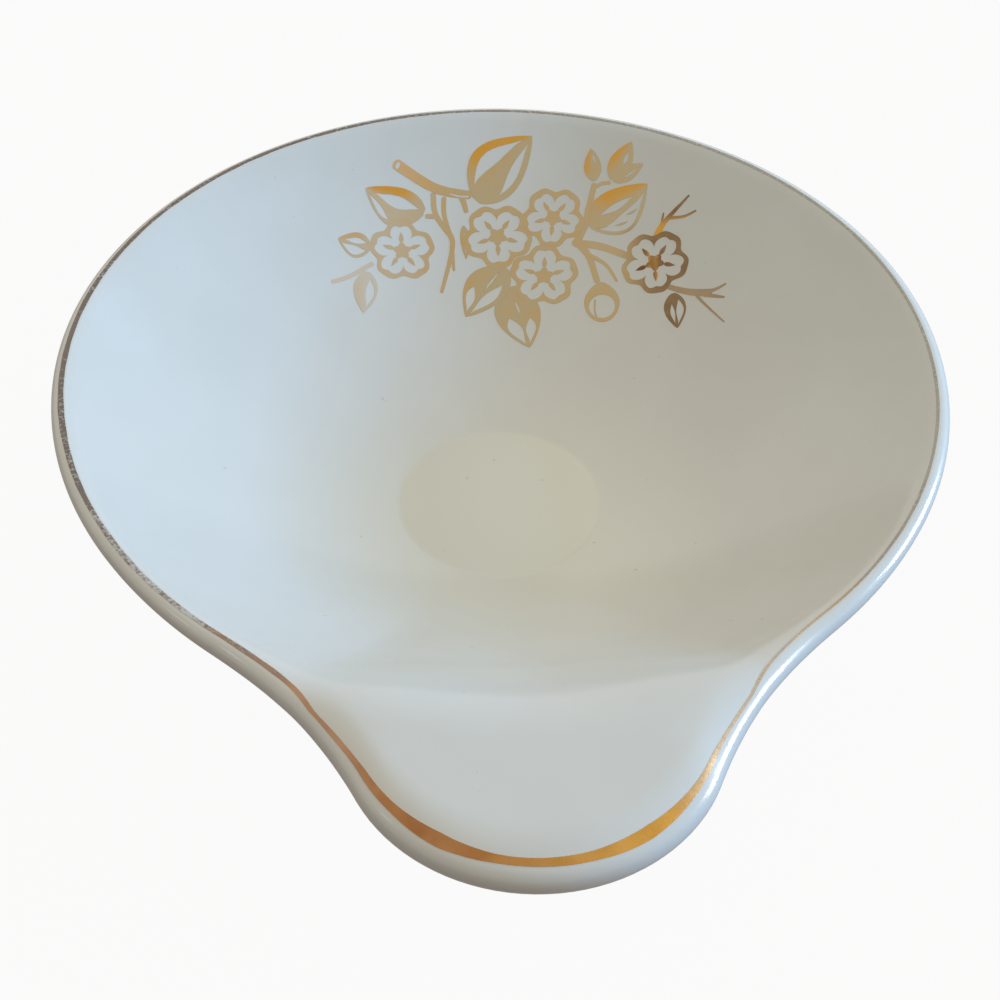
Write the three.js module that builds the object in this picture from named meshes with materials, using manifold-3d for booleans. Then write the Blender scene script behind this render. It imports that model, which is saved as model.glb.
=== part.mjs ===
// A porcelain candy dish: a round bowl drawn out at the front into a spoon-like lip, on a low foot ring,
// with a gold line round the rim and a gold blossom spray on the inside of the back wall.
// Millimetres, +Z up, lip towards -Y. The origin is under the middle of the dish, on the table.
import * as THREE from 'three';
import { LoftGeometry } from 'three/addons/geometries/LoftGeometry.js';
import { TessellateModifier } from 'three/addons/modifiers/TessellateModifier.js';
import { mergeVertices } from 'three/addons/utils/BufferGeometryUtils.js';
import Module from 'manifold-3d';

// Plan of the rim, measured on the middle of its edge
const OVERALL_WIDTH = 150;
const BOWL_SETBACK = 4.5;
const SIDE_RADIUS = 77.5;
const LIP_REACH = 98.5;
const NOSE_RADIUS = 25;
const WAIST_RADIUS = 84;

// Heights and slopes
const FOOT_HEIGHT = 4;
const RIM_ABOVE_FLOOR = 29;
const NOSE_RISE = 1.5;
const WALL_START_SHARE = 0.42;
const LIP_SLOPE = THREE.MathUtils.degToRad(3);
const LIP_ROLL = 8;
const LIP_ROLL_RISE = 1.3;
const CREASE_SOFTNESS = 7;
const CREASE_INSET = 5;
const CREASE_SPAN = THREE.MathUtils.degToRad(28);

// Clay thicknesses
const RIM_THICKNESS = 3.6;
const LIP_THICKNESS = 5.2;
const FLOOR_THICKNESS = 4.5;

// Well and foot
const WELL_RADIUS = 18.5;
const FOOT_RADIUS = 20.5;
const FOOT_ROOT_WIDTH = 4;
const FOOT_TREAD_WIDTH = 2.4;
const FOOT_CHAMFER = 0.4;
const SEAT_MARGIN = 0.6;
const ROOT_CHAMFER = 1.6;

// Gold
const GILDING_WIDTH = 1.1;
const GILDING_LIP_WIDTH = 1.8;
const GILDING_MARGIN = 0.06;
const FILM_THICKNESS = 0.3;
const FILM_CLEARANCE = 0.25;
const MOTIF_CLEARANCE = 0.3;

// The spray is drawn flat, then laid on the back wall as on a cone of this slope
const SPRAY_INSET = 20.2;
const SPRAY_SLOPE = THREE.MathUtils.degToRad(34);

// Blossoms: centre on the flat spray, width across the petals, turn in degrees
const BLOSSOMS = [
  { name: 'centre', at: [2.5, 0], across: 12.2, turn: 54 },
  { name: 'lower', at: [11.3, -9], across: 12, turn: 13 },
  { name: 'upper', at: [13.7, 3.4], across: 11, turn: 46 },
  { name: 'left', at: [-16.5, -3], across: 11.4, turn: 20 },
  { name: 'right', at: [33.3, -8.3], across: 11.8, turn: 54 },
];
const BLOSSOM_BORDER = 0.9;
const PETALS = 5;

// Shares of a blossom's radius: the petals' edge, the border's outer edge, and the star's corners
const PETAL_EDGE = { mean: 0.85, swing: 0.15, dent: 0.07 };
const BORDER_EDGE = { mean: 0.93, swing: 0.08, dent: 0.03 };
const STAR_REACH = 0.66;
const STAR_HEART = 0.22;

// Leaves: stalk end, tip, width, sideways bow of the rib, and the side of the wide pale slot:
// 1 to the left of the rib, -1 to the right, 0 for a leaf without slots
const LEAVES = [
  { name: 'top', base: [-1.6, 7.4], tip: [10.2, 20], width: 11.2, bow: 1.2, slots: 1 },
  { name: 'upper_left', base: [-11.6, 5.2], tip: [-23.4, 9.6], width: 8.4, bow: 1.2, slots: -1 },
  { name: 'far_left', base: [-22.6, -2.6], tip: [-29.2, -1.1], width: 5.4, bow: 0.3, slots: 1 },
  { name: 'lower_left', base: [-23.6, -7.6], tip: [-24.7, -17], width: 4.8, bow: 0, slots: 0 },
  { name: 'right', base: [20.4, 1.1], tip: [32.6, 8.1], width: 9.6, bow: -1.1, slots: -1 },
  { name: 'bottom_left', base: [4, -6.6], tip: [-4.5, -17.8], width: 8.4, bow: -0.6, slots: 1 },
  { name: 'bottom', base: [4.6, -10.8], tip: [7.7, -25.6], width: 9, bow: -0.2, slots: -1 },
  { name: 'right_lower', base: [36.6, -15.4], tip: [37.1, -23.4], width: 4.4, bow: 0, slots: 1 },
  { name: 'sliver', base: [-4.2, 2.6], tip: [-3.9, -4.8], width: 2, bow: 0.2, slots: 0 },
];

// Pale slots, a wide one and a narrow one across the rib: distance from the rib and half width, as shares
// of the leaf's half width, and run along the leaf
const LEAF_SLOTS = [
  { side: 0.36, from: 0.2, to: 0.84, swell: 0.25 },
  { side: -0.6, from: 0.34, to: 0.92, swell: 0.17 },
];
const LEAF_FULLNESS = 0.85;
const LEAF_SHOULDER = 0.8;
const LEAF_STALK = 0.02;

// Buds: stalk end, tip, width
const POINTED_BUD = { base: [22.1, 10], tip: [21.8, 16.6], width: 3.4 };
const TULIP_BUD = { base: [25.5, 9.8], tip: [29.9, 16.8], width: 4.6 };
const TULIP_SIDE = { base: [25.8, 9.6], tip: [32, 12.2], width: 3.2 };
const ROUND_BUD = { at: [22.4, -15.8], width: 7, height: 9, border: 1, cap: 0.55 };

// Branches are made of runs: three places on the flat spray that a run passes, and its width at both ends
const RUNS = [
  { of: 'branch_main', from: [-17, 14.7], by: [-9.5, 10.2], to: [-2.8, 8.8], start: 2.2, end: 1.7 },
  { of: 'branch_main', from: [-4.6, 9], by: [-3.9, 7.2], to: [-3.5, 5.4], start: 1.2, end: 0.9 },
  { of: 'branch_hanging', from: [-9.9, 9], by: [-9.6, 4.9], to: [-7.2, 0.9], start: 1, end: 1.1 },
  { of: 'branch_hanging', from: [-7.2, 1.2], by: [-6.5, -2.2], to: [-9, -12], start: 1.2, end: 0.7 },
  { of: 'branch_hanging', from: [-7.8, 8.2], by: [-7.9, 4.9], to: [-7, 0.8], start: 0.9, end: 0.9 },
  { of: 'branch_hanging', from: [-6.6, -2], by: [-6.5, -4.6], to: [-6.4, -7.2], start: 0.9, end: 0.5 },
  { of: 'branch_hanging', from: [-9.2, 4.4], by: [-10.3, 4.4], to: [-11.4, 4.4], start: 1, end: 1 },
  { of: 'branch_right', from: [22.1, 9.4], by: [21.4, 6.8], to: [20.6, 4], start: 1, end: 1.2 },
  { of: 'branch_right', from: [20.7, 4.6], by: [20, 1.4], to: [17.8, -2.6], start: 1.2, end: 1.5 },
  { of: 'branch_right', from: [21.9, 8.6], by: [23.6, 9.4], to: [25.2, 9.4], start: 0.7, end: 0.7 },
  { of: 'branch_right', from: [18, -2.4], by: [22.7, -3.5], to: [28, -6.2], start: 1.6, end: 1.4 },
  { of: 'branch_right', from: [18.6, -2.8], by: [20.4, -5.6], to: [21.7, -11], start: 1.4, end: 1.2 },
  { of: 'branch_right', from: [20.2, -5], by: [23.6, -7.6], to: [25.6, -11.4], start: 0.9, end: 0.5 },
  { of: 'twig_lower_left', from: [-30.6, -10.4], by: [-27, -8.9], to: [-22.6, -6], start: 0.8, end: 1 },
  { of: 'twig_right_top', from: [33.5, -4], by: [35.4, -0.4], to: [40.6, 4.3], start: 1.6, end: 0.5 },
  { of: 'twig_right_top', from: [36.4, 0.5], by: [39.4, 0.3], to: [41.8, 1], start: 0.7, end: 0.5 },
  { of: 'twig_right_low', from: [34.6, -13.4], by: [39.3, -15.6], to: [46.6, -17.4], start: 1.1, end: 1.3 },
  { of: 'twig_right_low', from: [40.6, -15.6], by: [42, -18], to: [46.4, -23.6], start: 0.7, end: 0.5 },
];

// Steps of the faceted surfaces
const RIM_SEGMENTS = 96;
const INNER_ROWS = 15;
const OUTER_ROWS = 11;
const EDGE_ROWS_OUTSIDE = 4;
const EDGE_ROWS_INSIDE = 2;
const FOOT_SEGMENTS = 48;
const LOBE_STEPS = 6;
const LEAF_STEPS = 7;
const RUN_STEPS = 6;
const FILM_STEP = 4;
const FILM_ROUNDS = 8;
const JOIN_DISTANCE = 1e-4;
const PROBE_STEP = 1e-3;

// Sizes that follow from the ones above
const BOWL_RADIUS = (OVERALL_WIDTH - RIM_THICKNESS) / 2;
const BACK_REACH = BOWL_SETBACK + BOWL_RADIUS;
const FOOT_Y = (LIP_REACH + LIP_THICKNESS / 2 - BACK_REACH - RIM_THICKNESS / 2) / 2;
const FLOOR_Z = FOOT_HEIGHT + FLOOR_THICKNESS;
const FLOOR_MIDDLE_Z = FOOT_HEIGHT + FLOOR_THICKNESS / 2;
const WALL_RISE = RIM_ABOVE_FLOOR + FLOOR_THICKNESS / 2;
const SEAT_RADIUS = FOOT_RADIUS + FOOT_ROOT_WIDTH / 2 + SEAT_MARGIN;
const SPRAY_RADIUS = BACK_REACH - SPRAY_INSET;
const SPRAY_APEX = SPRAY_RADIUS / Math.cos(SPRAY_SLOPE);
const QUARTER = Math.PI / 2;

const porcelain = () => new THREE.MeshStandardMaterial({ color: 0xe9ebe4, roughness: 0.12, metalness: 0 });
const bareClay = () => new THREE.MeshStandardMaterial({ color: 0xddd6c8, roughness: 0.8, metalness: 0 });
const gold = () => new THREE.MeshStandardMaterial({ color: 0xcf9440, roughness: 0.3, metalness: 1 });

const wasm = await Module();
wasm.setup();

// Plan of the right half: side arc, waist arc and nose arc touch each other smoothly
const sideCentre = new THREE.Vector2(BOWL_RADIUS - SIDE_RADIUS, BOWL_SETBACK);
const noseCentre = new THREE.Vector2(0, NOSE_RADIUS - LIP_REACH);
const waistCentre = outerTangentCentre(sideCentre, SIDE_RADIUS, noseCentre, NOSE_RADIUS, WAIST_RADIUS);
const sideJoin = sideCentre.clone().lerp(waistCentre, SIDE_RADIUS / (SIDE_RADIUS + WAIST_RADIUS));
const noseJoin = noseCentre.clone().lerp(waistCentre, NOSE_RADIUS / (NOSE_RADIUS + WAIST_RADIUS));
const sideJoinAngle = Math.atan2(sideJoin.y, sideJoin.x);
const noseJoinAngle = Math.atan2(noseJoin.y, noseJoin.x);

// Centre of the circle that touches two others from outside, to the left of the way from A to B
function outerTangentCentre(centreA, radiusA, centreB, radiusB, radius) {
  const reachA = radiusA + radius;
  const reachB = radiusB + radius;
  const along = centreB.clone().sub(centreA);
  const span = along.length();
  along.divideScalar(span);
  const share = (reachA ** 2 - reachB ** 2 + span ** 2) / (2 * span);
  const aside = Math.sqrt(reachA ** 2 - share ** 2);
  const left = new THREE.Vector2(-along.y, along.x);
  return centreA.clone().addScaledVector(along, share).addScaledVector(left, aside);
}

// Distances along a ray from the foot's centre to a circle
function rayToCircle(direction, centre, radius) {
  const middle = direction.dot(centre);
  const half = Math.sqrt(middle ** 2 - centre.lengthSq() + radius ** 2);
  return { near: middle - half, far: middle + half };
}

// The plan is the same on both sides, so a ray to the left is measured on the right
function rightRay(angle) {
  return new THREE.Vector2(Math.abs(Math.cos(angle)), Math.sin(angle));
}

// Reach of the bowl as it would be without its lip
function bowlReach(angle) {
  const ray = rightRay(angle);
  const side = rayToCircle(ray, sideCentre, SIDE_RADIUS).far;
  if (side * ray.y <= BOWL_SETBACK) return side;
  return rayToCircle(ray, new THREE.Vector2(0, BOWL_SETBACK), BOWL_RADIUS).far;
}

function rimReach(angle) {
  const ray = rightRay(angle);
  const turn = Math.atan2(ray.y, ray.x);
  if (turn < noseJoinAngle) return rayToCircle(ray, noseCentre, NOSE_RADIUS).far;
  if (turn < sideJoinAngle) return rayToCircle(ray, waistCentre, WAIST_RADIUS).near;
  return bowlReach(angle);
}

// Directions of evenly spaced points round the rim, from the nose round the right side
function rimAngles() {
  const nose = Math.atan2(noseJoin.y - noseCentre.y, noseJoin.x - noseCentre.x);
  const waistStart = Math.atan2(noseJoin.y - waistCentre.y, noseJoin.x - waistCentre.x);
  const waistEnd = Math.atan2(sideJoin.y - waistCentre.y, sideJoin.x - waistCentre.x);
  const side = Math.atan2(sideJoin.y - sideCentre.y, sideJoin.x - sideCentre.x);
  const rim = new THREE.Path();
  rim.absarc(noseCentre.x, noseCentre.y, NOSE_RADIUS, -QUARTER, nose, false);
  rim.absarc(waistCentre.x, waistCentre.y, WAIST_RADIUS, waistStart, waistEnd, true);
  rim.absarc(sideCentre.x, sideCentre.y, SIDE_RADIUS, side, 0, false);
  rim.absarc(0, BOWL_SETBACK, BOWL_RADIUS, 0, QUARTER, false);
  const right = rim.getSpacedPoints(RIM_SEGMENTS / 2).map((point) => Math.atan2(point.y, point.x));
  const left = right.slice(1, -1).reverse().map((angle) => Math.PI - angle);
  return [...right, ...left];
}

// 0 on the bowl, rising to 1 at the nose of the lip
function lipShare(angle) {
  const forward = -rimReach(angle) * Math.sin(angle);
  return THREE.MathUtils.smoothstep(forward, WELL_RADIUS * 2, LIP_REACH);
}

function smoothMinimum(a, b, softness) {
  if (softness <= 0) return Math.min(a, b);
  const near = Math.max(softness - Math.abs(a - b), 0) / softness;
  return Math.min(a, b) - near * near * softness / 4;
}

// Reach of the bowl's wall, which is set in at the front so that the crease runs flatter than the bowl's circle
function wallReach(angle) {
  const front = THREE.MathUtils.smoothstep(-Math.sin(angle), Math.cos(CREASE_SPAN), 1);
  return bowlReach(angle) - CREASE_INSET * front;
}

// Middle of the clay at a plan radius: flat floor, bowl wall, then past a soft crease the nearly level lip,
// which rolls over towards its edge
function clayMiddle(angle, radius) {
  const rim = rimReach(angle);
  const bowl = wallReach(angle);
  const climb = Math.max(radius - WELL_RADIUS, 0) / (bowl - WELL_RADIUS);
  const wall = WALL_RISE * (WALL_START_SHARE * climb + (1 - WALL_START_SHARE) * climb ** 2);
  const share = lipShare(angle);
  const away = rim - radius;
  const roll = 1 - Math.max(1 - away / LIP_ROLL, 0) ** 2;
  const lip = WALL_RISE + (NOSE_RISE + LIP_ROLL_RISE * roll) * share - Math.tan(LIP_SLOPE) * away;
  const height = smoothMinimum(wall, lip, CREASE_SOFTNESS * share);
  const x = radius * Math.cos(angle);
  const y = radius * Math.sin(angle);
  return new THREE.Vector3(x, FOOT_Y + y, FLOOR_MIDDLE_Z + height);
}

function edgeThickness(angle) {
  return THREE.MathUtils.lerp(RIM_THICKNESS, LIP_THICKNESS, lipShare(angle));
}

function clayThickness(angle, radius) {
  const share = Math.max(radius - WELL_RADIUS, 0) / (rimReach(angle) - WELL_RADIUS);
  return THREE.MathUtils.lerp(FLOOR_THICKNESS, edgeThickness(angle), share);
}

// Directions at a point of the wall: up out of the clay, and outwards along it, square to the rim
function wallDirections(angle, radius) {
  const step = PROBE_STEP;
  const share = radius / rimReach(angle);
  const left = clayMiddle(angle + step, share * rimReach(angle + step));
  const right = clayMiddle(angle - step, share * rimReach(angle - step));
  const around = left.sub(right).normalize();
  const outer = clayMiddle(angle, radius + step).sub(clayMiddle(angle, radius - step));
  const up = outer.cross(around).normalize();
  const out = around.clone().cross(up);
  return { up, out };
}

// Point above or below the middle of the clay, square to it
function wallPoint(angle, radius, side, beyond = 0) {
  const { up } = wallDirections(angle, radius);
  const distance = side * (clayThickness(angle, radius) / 2 + beyond);
  return clayMiddle(angle, radius).addScaledVector(up, distance);
}

// Point on the round edge of the rim; turn runs from -90 degrees outside to 90 degrees inside
function edgePoint(angle, turn, beyond = 0) {
  const rim = rimReach(angle);
  const { up, out } = wallDirections(angle, rim);
  const reach = edgeThickness(angle) / 2 + beyond;
  const point = clayMiddle(angle, rim);
  point.addScaledVector(out, reach * Math.cos(turn));
  return point.addScaledVector(up, reach * Math.sin(turn));
}

// Turns of the gold line's outer side, middle and inner side, as near the top of the edge as it fits
function gildingTurns(angle) {
  const { out } = wallDirections(angle, rimReach(angle));
  const width = THREE.MathUtils.lerp(GILDING_WIDTH, GILDING_LIP_WIDTH, lipShare(angle));
  const half = width / edgeThickness(angle);
  const middle = QUARTER - Math.max(Math.asin(out.z), half + GILDING_MARGIN);
  return [middle - half, middle, middle + half];
}

const angles = rimAngles();
const ringOf = (pointAt) => angles.map(pointAt);
const circleRing = (radius, z) => ringOf((angle) => {
  return new THREE.Vector3(radius * Math.cos(angle), FOOT_Y + radius * Math.sin(angle), z);
});

// Keeps positions only, joins equal points and drops the triangles that this closes up
function closedSolid(geometry) {
  const plain = new THREE.BufferGeometry();
  plain.setAttribute('position', geometry.attributes.position.clone());
  plain.setIndex(geometry.index);
  const merged = mergeVertices(plain, JOIN_DISTANCE);
  const corners = merged.index.array;
  const kept = [];
  for (let i = 0; i < corners.length; i += 3) {
    const [a, b, c] = corners.slice(i, i + 3);
    if (a !== b && b !== c && c !== a) kept.push(a, b, c);
  }
  merged.setIndex(kept);
  merged.computeVertexNormals();
  return merged;
}

function dishBodyGeometry() {
  const rings = [circleRing(0, FOOT_HEIGHT), circleRing(SEAT_RADIUS, FOOT_HEIGHT)];
  const outerStart = SEAT_RADIUS + ROOT_CHAMFER;
  for (let row = 0; row < OUTER_ROWS; row++) {
    rings.push(ringOf((angle) => {
      const radius = THREE.MathUtils.lerp(outerStart, rimReach(angle), row / OUTER_ROWS);
      return wallPoint(angle, radius, -1);
    }));
  }
  for (let row = 0; row < EDGE_ROWS_OUTSIDE; row++) {
    rings.push(ringOf((angle) => {
      const turn = THREE.MathUtils.lerp(-QUARTER, gildingTurns(angle)[0], row / EDGE_ROWS_OUTSIDE);
      return edgePoint(angle, turn);
    }));
  }
  rings.push(...gildingRings(0));
  for (let row = 1; row <= EDGE_ROWS_INSIDE; row++) {
    rings.push(ringOf((angle) => {
      const turn = THREE.MathUtils.lerp(gildingTurns(angle)[2], QUARTER, row / EDGE_ROWS_INSIDE);
      return edgePoint(angle, turn);
    }));
  }
  for (let row = 1; row < INNER_ROWS; row++) {
    rings.push(ringOf((angle) => {
      const radius = THREE.MathUtils.lerp(rimReach(angle), WELL_RADIUS, row / INNER_ROWS);
      return wallPoint(angle, radius, 1);
    }));
  }
  rings.push(circleRing(WELL_RADIUS, FLOOR_Z), circleRing(0, FLOOR_Z));
  return closedSolid(new LoftGeometry(rings));
}

// The three rings that the gold line lies on, raised by a thickness
function gildingRings(raise) {
  return [0, 1, 2].map((row) => ringOf((angle) => edgePoint(angle, gildingTurns(angle)[row], raise)));
}

function gildingGeometry() {
  const under = gildingRings(FILM_CLEARANCE).reverse();
  const top = gildingRings(FILM_CLEARANCE + FILM_THICKNESS);
  const rings = [...under, ...top, under[0]];
  return closedSolid(new LoftGeometry(rings));
}

function footRingGeometry() {
  const root = FOOT_ROOT_WIDTH / 2;
  const tread = FOOT_TREAD_WIDTH / 2;
  const profile = [
    new THREE.Vector2(FOOT_RADIUS - root, FOOT_HEIGHT),
    new THREE.Vector2(FOOT_RADIUS - tread - FOOT_CHAMFER, FOOT_CHAMFER),
    new THREE.Vector2(FOOT_RADIUS - tread, 0),
    new THREE.Vector2(FOOT_RADIUS + tread, 0),
    new THREE.Vector2(FOOT_RADIUS + tread + FOOT_CHAMFER, FOOT_CHAMFER),
    new THREE.Vector2(FOOT_RADIUS + root, FOOT_HEIGHT),
    new THREE.Vector2(FOOT_RADIUS - root, FOOT_HEIGHT),
  ];
  const ring = new THREE.LatheGeometry(profile, FOOT_SEGMENTS);
  ring.rotateX(QUARTER);
  return closedSolid(ring);
}

// A flat drawing becomes a plate between two heights above the wall
function plate(shape, low, high) {
  const geometry = new THREE.ExtrudeGeometry(shape, { depth: high - low, bevelEnabled: false });
  geometry.translate(0, 0, low);
  const solid = closedSolid(geometry);
  const vertProperties = new Float32Array(solid.attributes.position.array);
  const triVerts = new Uint32Array(solid.index.array);
  return new wasm.Manifold(new wasm.Mesh({ numProp: 3, vertProperties, triVerts }));
}

function plates(shapes, low, high) {
  return shapes.map((shape) => plate(shape, low, high)).reduce((all, one) => all.add(one));
}

function largestOf(solid) {
  return solid.decompose().sort((a, b) => b.volume() - a.volume())[0];
}

function geometryOf(solid) {
  const mesh = solid.getMesh();
  const geometry = new THREE.BufferGeometry();
  geometry.setAttribute('position', new THREE.BufferAttribute(new Float32Array(mesh.vertProperties), 3));
  geometry.setIndex([...mesh.triVerts]);
  return geometry;
}

// Lays a flat plate on the back wall: its x runs round the wall, its y up the wall, its z out of the glaze
function layOnWall(geometry) {
  const position = geometry.attributes.position;
  for (let i = 0; i < position.count; i++) {
    const across = position.getX(i);
    const upward = SPRAY_APEX + position.getY(i);
    const radius = Math.hypot(across, upward) * Math.cos(SPRAY_SLOPE);
    const angle = QUARTER - Math.atan2(across, upward) / Math.cos(SPRAY_SLOPE);
    const point = wallPoint(angle, radius, 1, position.getZ(i));
    position.setXYZ(i, point.x, point.y, point.z);
  }
  return geometry;
}

// A ring of lobes: mean radius, swing of each lobe and the dent in its middle, as shares of a radius
function lobeLoop(at, turn, size, { mean, swing, dent }) {
  const points = [];
  const steps = PETALS * LOBE_STEPS;
  for (let step = 0; step < steps; step++) {
    const angle = 2 * Math.PI * step / steps;
    const lobe = swing * Math.cos(PETALS * angle) - dent * Math.cos(2 * PETALS * angle);
    const radius = size * (mean + lobe);
    const facing = angle + THREE.MathUtils.degToRad(turn);
    points.push(new THREE.Vector2(at[0] + radius * Math.cos(facing), at[1] + radius * Math.sin(facing)));
  }
  return points;
}

function blossomOutline({ at, across, turn }, grow) {
  return new THREE.Shape(lobeLoop(at, turn, across / 2 + BLOSSOM_BORDER + grow, BORDER_EDGE));
}

function blossomBorder(blossom) {
  const border = blossomOutline(blossom, 0);
  const petals = lobeLoop(blossom.at, blossom.turn, blossom.across / 2, PETAL_EDGE);
  border.holes.push(new THREE.Path(petals));
  return border;
}

function blossomStar({ at, across, turn }) {
  const points = [];
  for (let corner = 0; corner < 2 * PETALS; corner++) {
    const angle = Math.PI * corner / PETALS + THREE.MathUtils.degToRad(turn);
    const radius = across / 2 * (corner % 2 === 0 ? STAR_REACH : STAR_HEART);
    points.push(new THREE.Vector2(at[0] + radius * Math.cos(angle), at[1] + radius * Math.sin(angle)));
  }
  return new THREE.Shape(points);
}

// Points along a leaf at a share of its half width, positive to the left of the rib
function leafSide({ base, tip, width, bow }, grow, share, from, to, swell) {
  const start = new THREE.Vector2(...base);
  const along = new THREE.Vector2(...tip).sub(start);
  const length = along.length();
  along.divideScalar(length);
  start.addScaledVector(along, -grow);
  const left = new THREE.Vector2(-along.y, along.x);
  const points = [];
  for (let step = 0; step <= LEAF_STEPS; step++) {
    const place = THREE.MathUtils.lerp(from, to, step / LEAF_STEPS);
    const half = (width / 2 + grow) * Math.sin(Math.PI * place ** LEAF_SHOULDER) ** LEAF_FULLNESS;
    const rib = bow * Math.sin(Math.PI * place);
    const offset = half * (share + swell * Math.sin(Math.PI * step / LEAF_STEPS));
    const point = start.clone().addScaledVector(along, place * (length + 2 * grow));
    points.push(point.addScaledVector(left, rib + offset));
  }
  return points;
}

function leafOutline(leaf, grow) {
  const left = leafSide(leaf, grow, 1, LEAF_STALK, 1, 0);
  const right = leafSide(leaf, grow, -1, LEAF_STALK, 1, 0).slice(0, -1).reverse();
  return new THREE.Shape([...left, ...right]);
}

// A pale slot beside the rib: two bowed lines that meet at both ends
function leafSlot(leaf, { side, from, to, swell }) {
  const right = leafSide(leaf, 0, side * leaf.slots, from, to, -swell);
  const left = leafSide(leaf, 0, side * leaf.slots, from, to, swell).slice(1, -1).reverse();
  return new THREE.Path([...right, ...left]);
}

function leafDrawing(leaf) {
  const drawing = leafOutline(leaf, 0);
  if (leaf.slots !== 0) drawing.holes.push(...LEAF_SLOTS.map((slot) => leafSlot(leaf, slot)));
  return drawing;
}

function roundBudOutline({ at, width, height }, grow) {
  const oval = new THREE.Shape();
  oval.absellipse(at[0], at[1], width / 2 + grow, height / 2 + grow, 0, 2 * Math.PI, false, 0);
  return new THREE.Shape(oval.getPoints(4 * LEAF_STEPS).slice(0, -1));
}

// The round bud is a border with a filled cap at its stalk end
function roundBudDrawing(bud) {
  const drawing = roundBudOutline(bud, 0);
  const height = bud.height * (1 - bud.cap / 2) - bud.border;
  const dropped = bud.at[1] - bud.height / 2 + bud.border + height / 2;
  const window = new THREE.Path();
  window.absellipse(bud.at[0], dropped, bud.width / 2 - bud.border, height / 2, 0, 2 * Math.PI, true, 0);
  drawing.holes.push(new THREE.Path(window.getPoints(3 * LEAF_STEPS).slice(0, -1)));
  return drawing;
}

// A tapering ribbon along a smooth line
function runShape({ from, by, to, start, end }, grow) {
  const line = new THREE.SplineCurve([from, by, to].map(([x, y]) => new THREE.Vector2(x, y)));
  const left = [];
  const right = [];
  for (let step = 0; step <= RUN_STEPS; step++) {
    const share = step / RUN_STEPS;
    const half = THREE.MathUtils.lerp(start, end, share) / 2 + grow;
    const tangent = line.getTangent(share);
    const aside = new THREE.Vector2(-tangent.y, tangent.x);
    left.push(line.getPoint(share).addScaledVector(aside, half));
    right.unshift(line.getPoint(share).addScaledVector(aside, -half));
  }
  return new THREE.Shape([...right, ...left]);
}

const runsOf = (name) => RUNS.filter((run) => run.of === name);
const branches = [...new Set(RUNS.map((run) => run.of))];

// Every motif, those in front first: the drawing, and its outline grown by a clearance
function sprayMotifs() {
  const plain = { bow: 0, slots: 0 };
  const pointed = { ...POINTED_BUD, ...plain };
  const tulip = [{ ...TULIP_BUD, ...plain }, { ...TULIP_SIDE, ...plain }];
  return [
    ...BLOSSOMS.map((blossom) => ({
      name: `blossom_${blossom.name}_outline`,
      drawing: [blossomBorder(blossom)],
      outline: (grow) => [blossomOutline(blossom, grow)],
    })),
    {
      name: 'bud_round',
      drawing: [roundBudDrawing(ROUND_BUD)],
      outline: (grow) => [roundBudOutline(ROUND_BUD, grow)],
    },
    {
      name: 'bud_pointed',
      drawing: [leafDrawing(pointed)],
      outline: (grow) => [leafOutline(pointed, grow)],
    },
    {
      name: 'bud_tulip',
      drawing: tulip.map(leafDrawing),
      outline: (grow) => tulip.map((petal) => leafOutline(petal, grow)),
    },
    ...branches.map((name) => ({
      name,
      drawing: runsOf(name).map((run) => runShape(run, 0)),
      outline: (grow) => runsOf(name).map((run) => runShape(run, grow)),
    })),
    ...LEAVES.map((leaf) => ({
      name: `leaf_${leaf.name}`,
      drawing: [leafDrawing(leaf)],
      outline: (grow) => [leafOutline(leaf, grow)],
    })),
  ];
}

function filmGeometry(solid) {
  const fine = new TessellateModifier(FILM_STEP, FILM_ROUNDS).modify(geometryOf(solid));
  return closedSolid(layOnWall(fine));
}

const dish = new THREE.Group();

function addPiece(name, geometry, material) {
  const mesh = new THREE.Mesh(geometry, material);
  mesh.name = name;
  dish.add(mesh);
  return mesh;
}

// Each motif is trimmed by those in front of it, with a clearance, so no two patches of gold overlap
function addSpray() {
  const low = FILM_CLEARANCE;
  const high = FILM_CLEARANCE + FILM_THICKNESS;
  let front = null;
  for (const { name, drawing, outline } of sprayMotifs()) {
    let solid = plates(drawing, low, high);
    if (front) solid = largestOf(solid.subtract(front));
    addPiece(name, filmGeometry(solid), gold());
    const cutter = plates(outline(MOTIF_CLEARANCE), low - FILM_THICKNESS, high + FILM_THICKNESS);
    front = front ? front.add(cutter) : cutter;
  }
  for (const blossom of BLOSSOMS) {
    addPiece(`blossom_${blossom.name}_star`, filmGeometry(plate(blossomStar(blossom), low, high)), gold());
  }
}

addPiece('dish_body', dishBodyGeometry(), porcelain());
const footRing = addPiece('foot_ring', footRingGeometry(), bareClay());
footRing.position.set(0, FOOT_Y, 0);
addPiece('rim_gilding', gildingGeometry(), gold());
addSpray();

export default dish;
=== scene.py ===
import math
from collections import namedtuple
from functools import partial

import bpy
import numpy as np
from mathutils import Matrix, Vector
from mathutils.geometry import delaunay_2d_cdt


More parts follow.
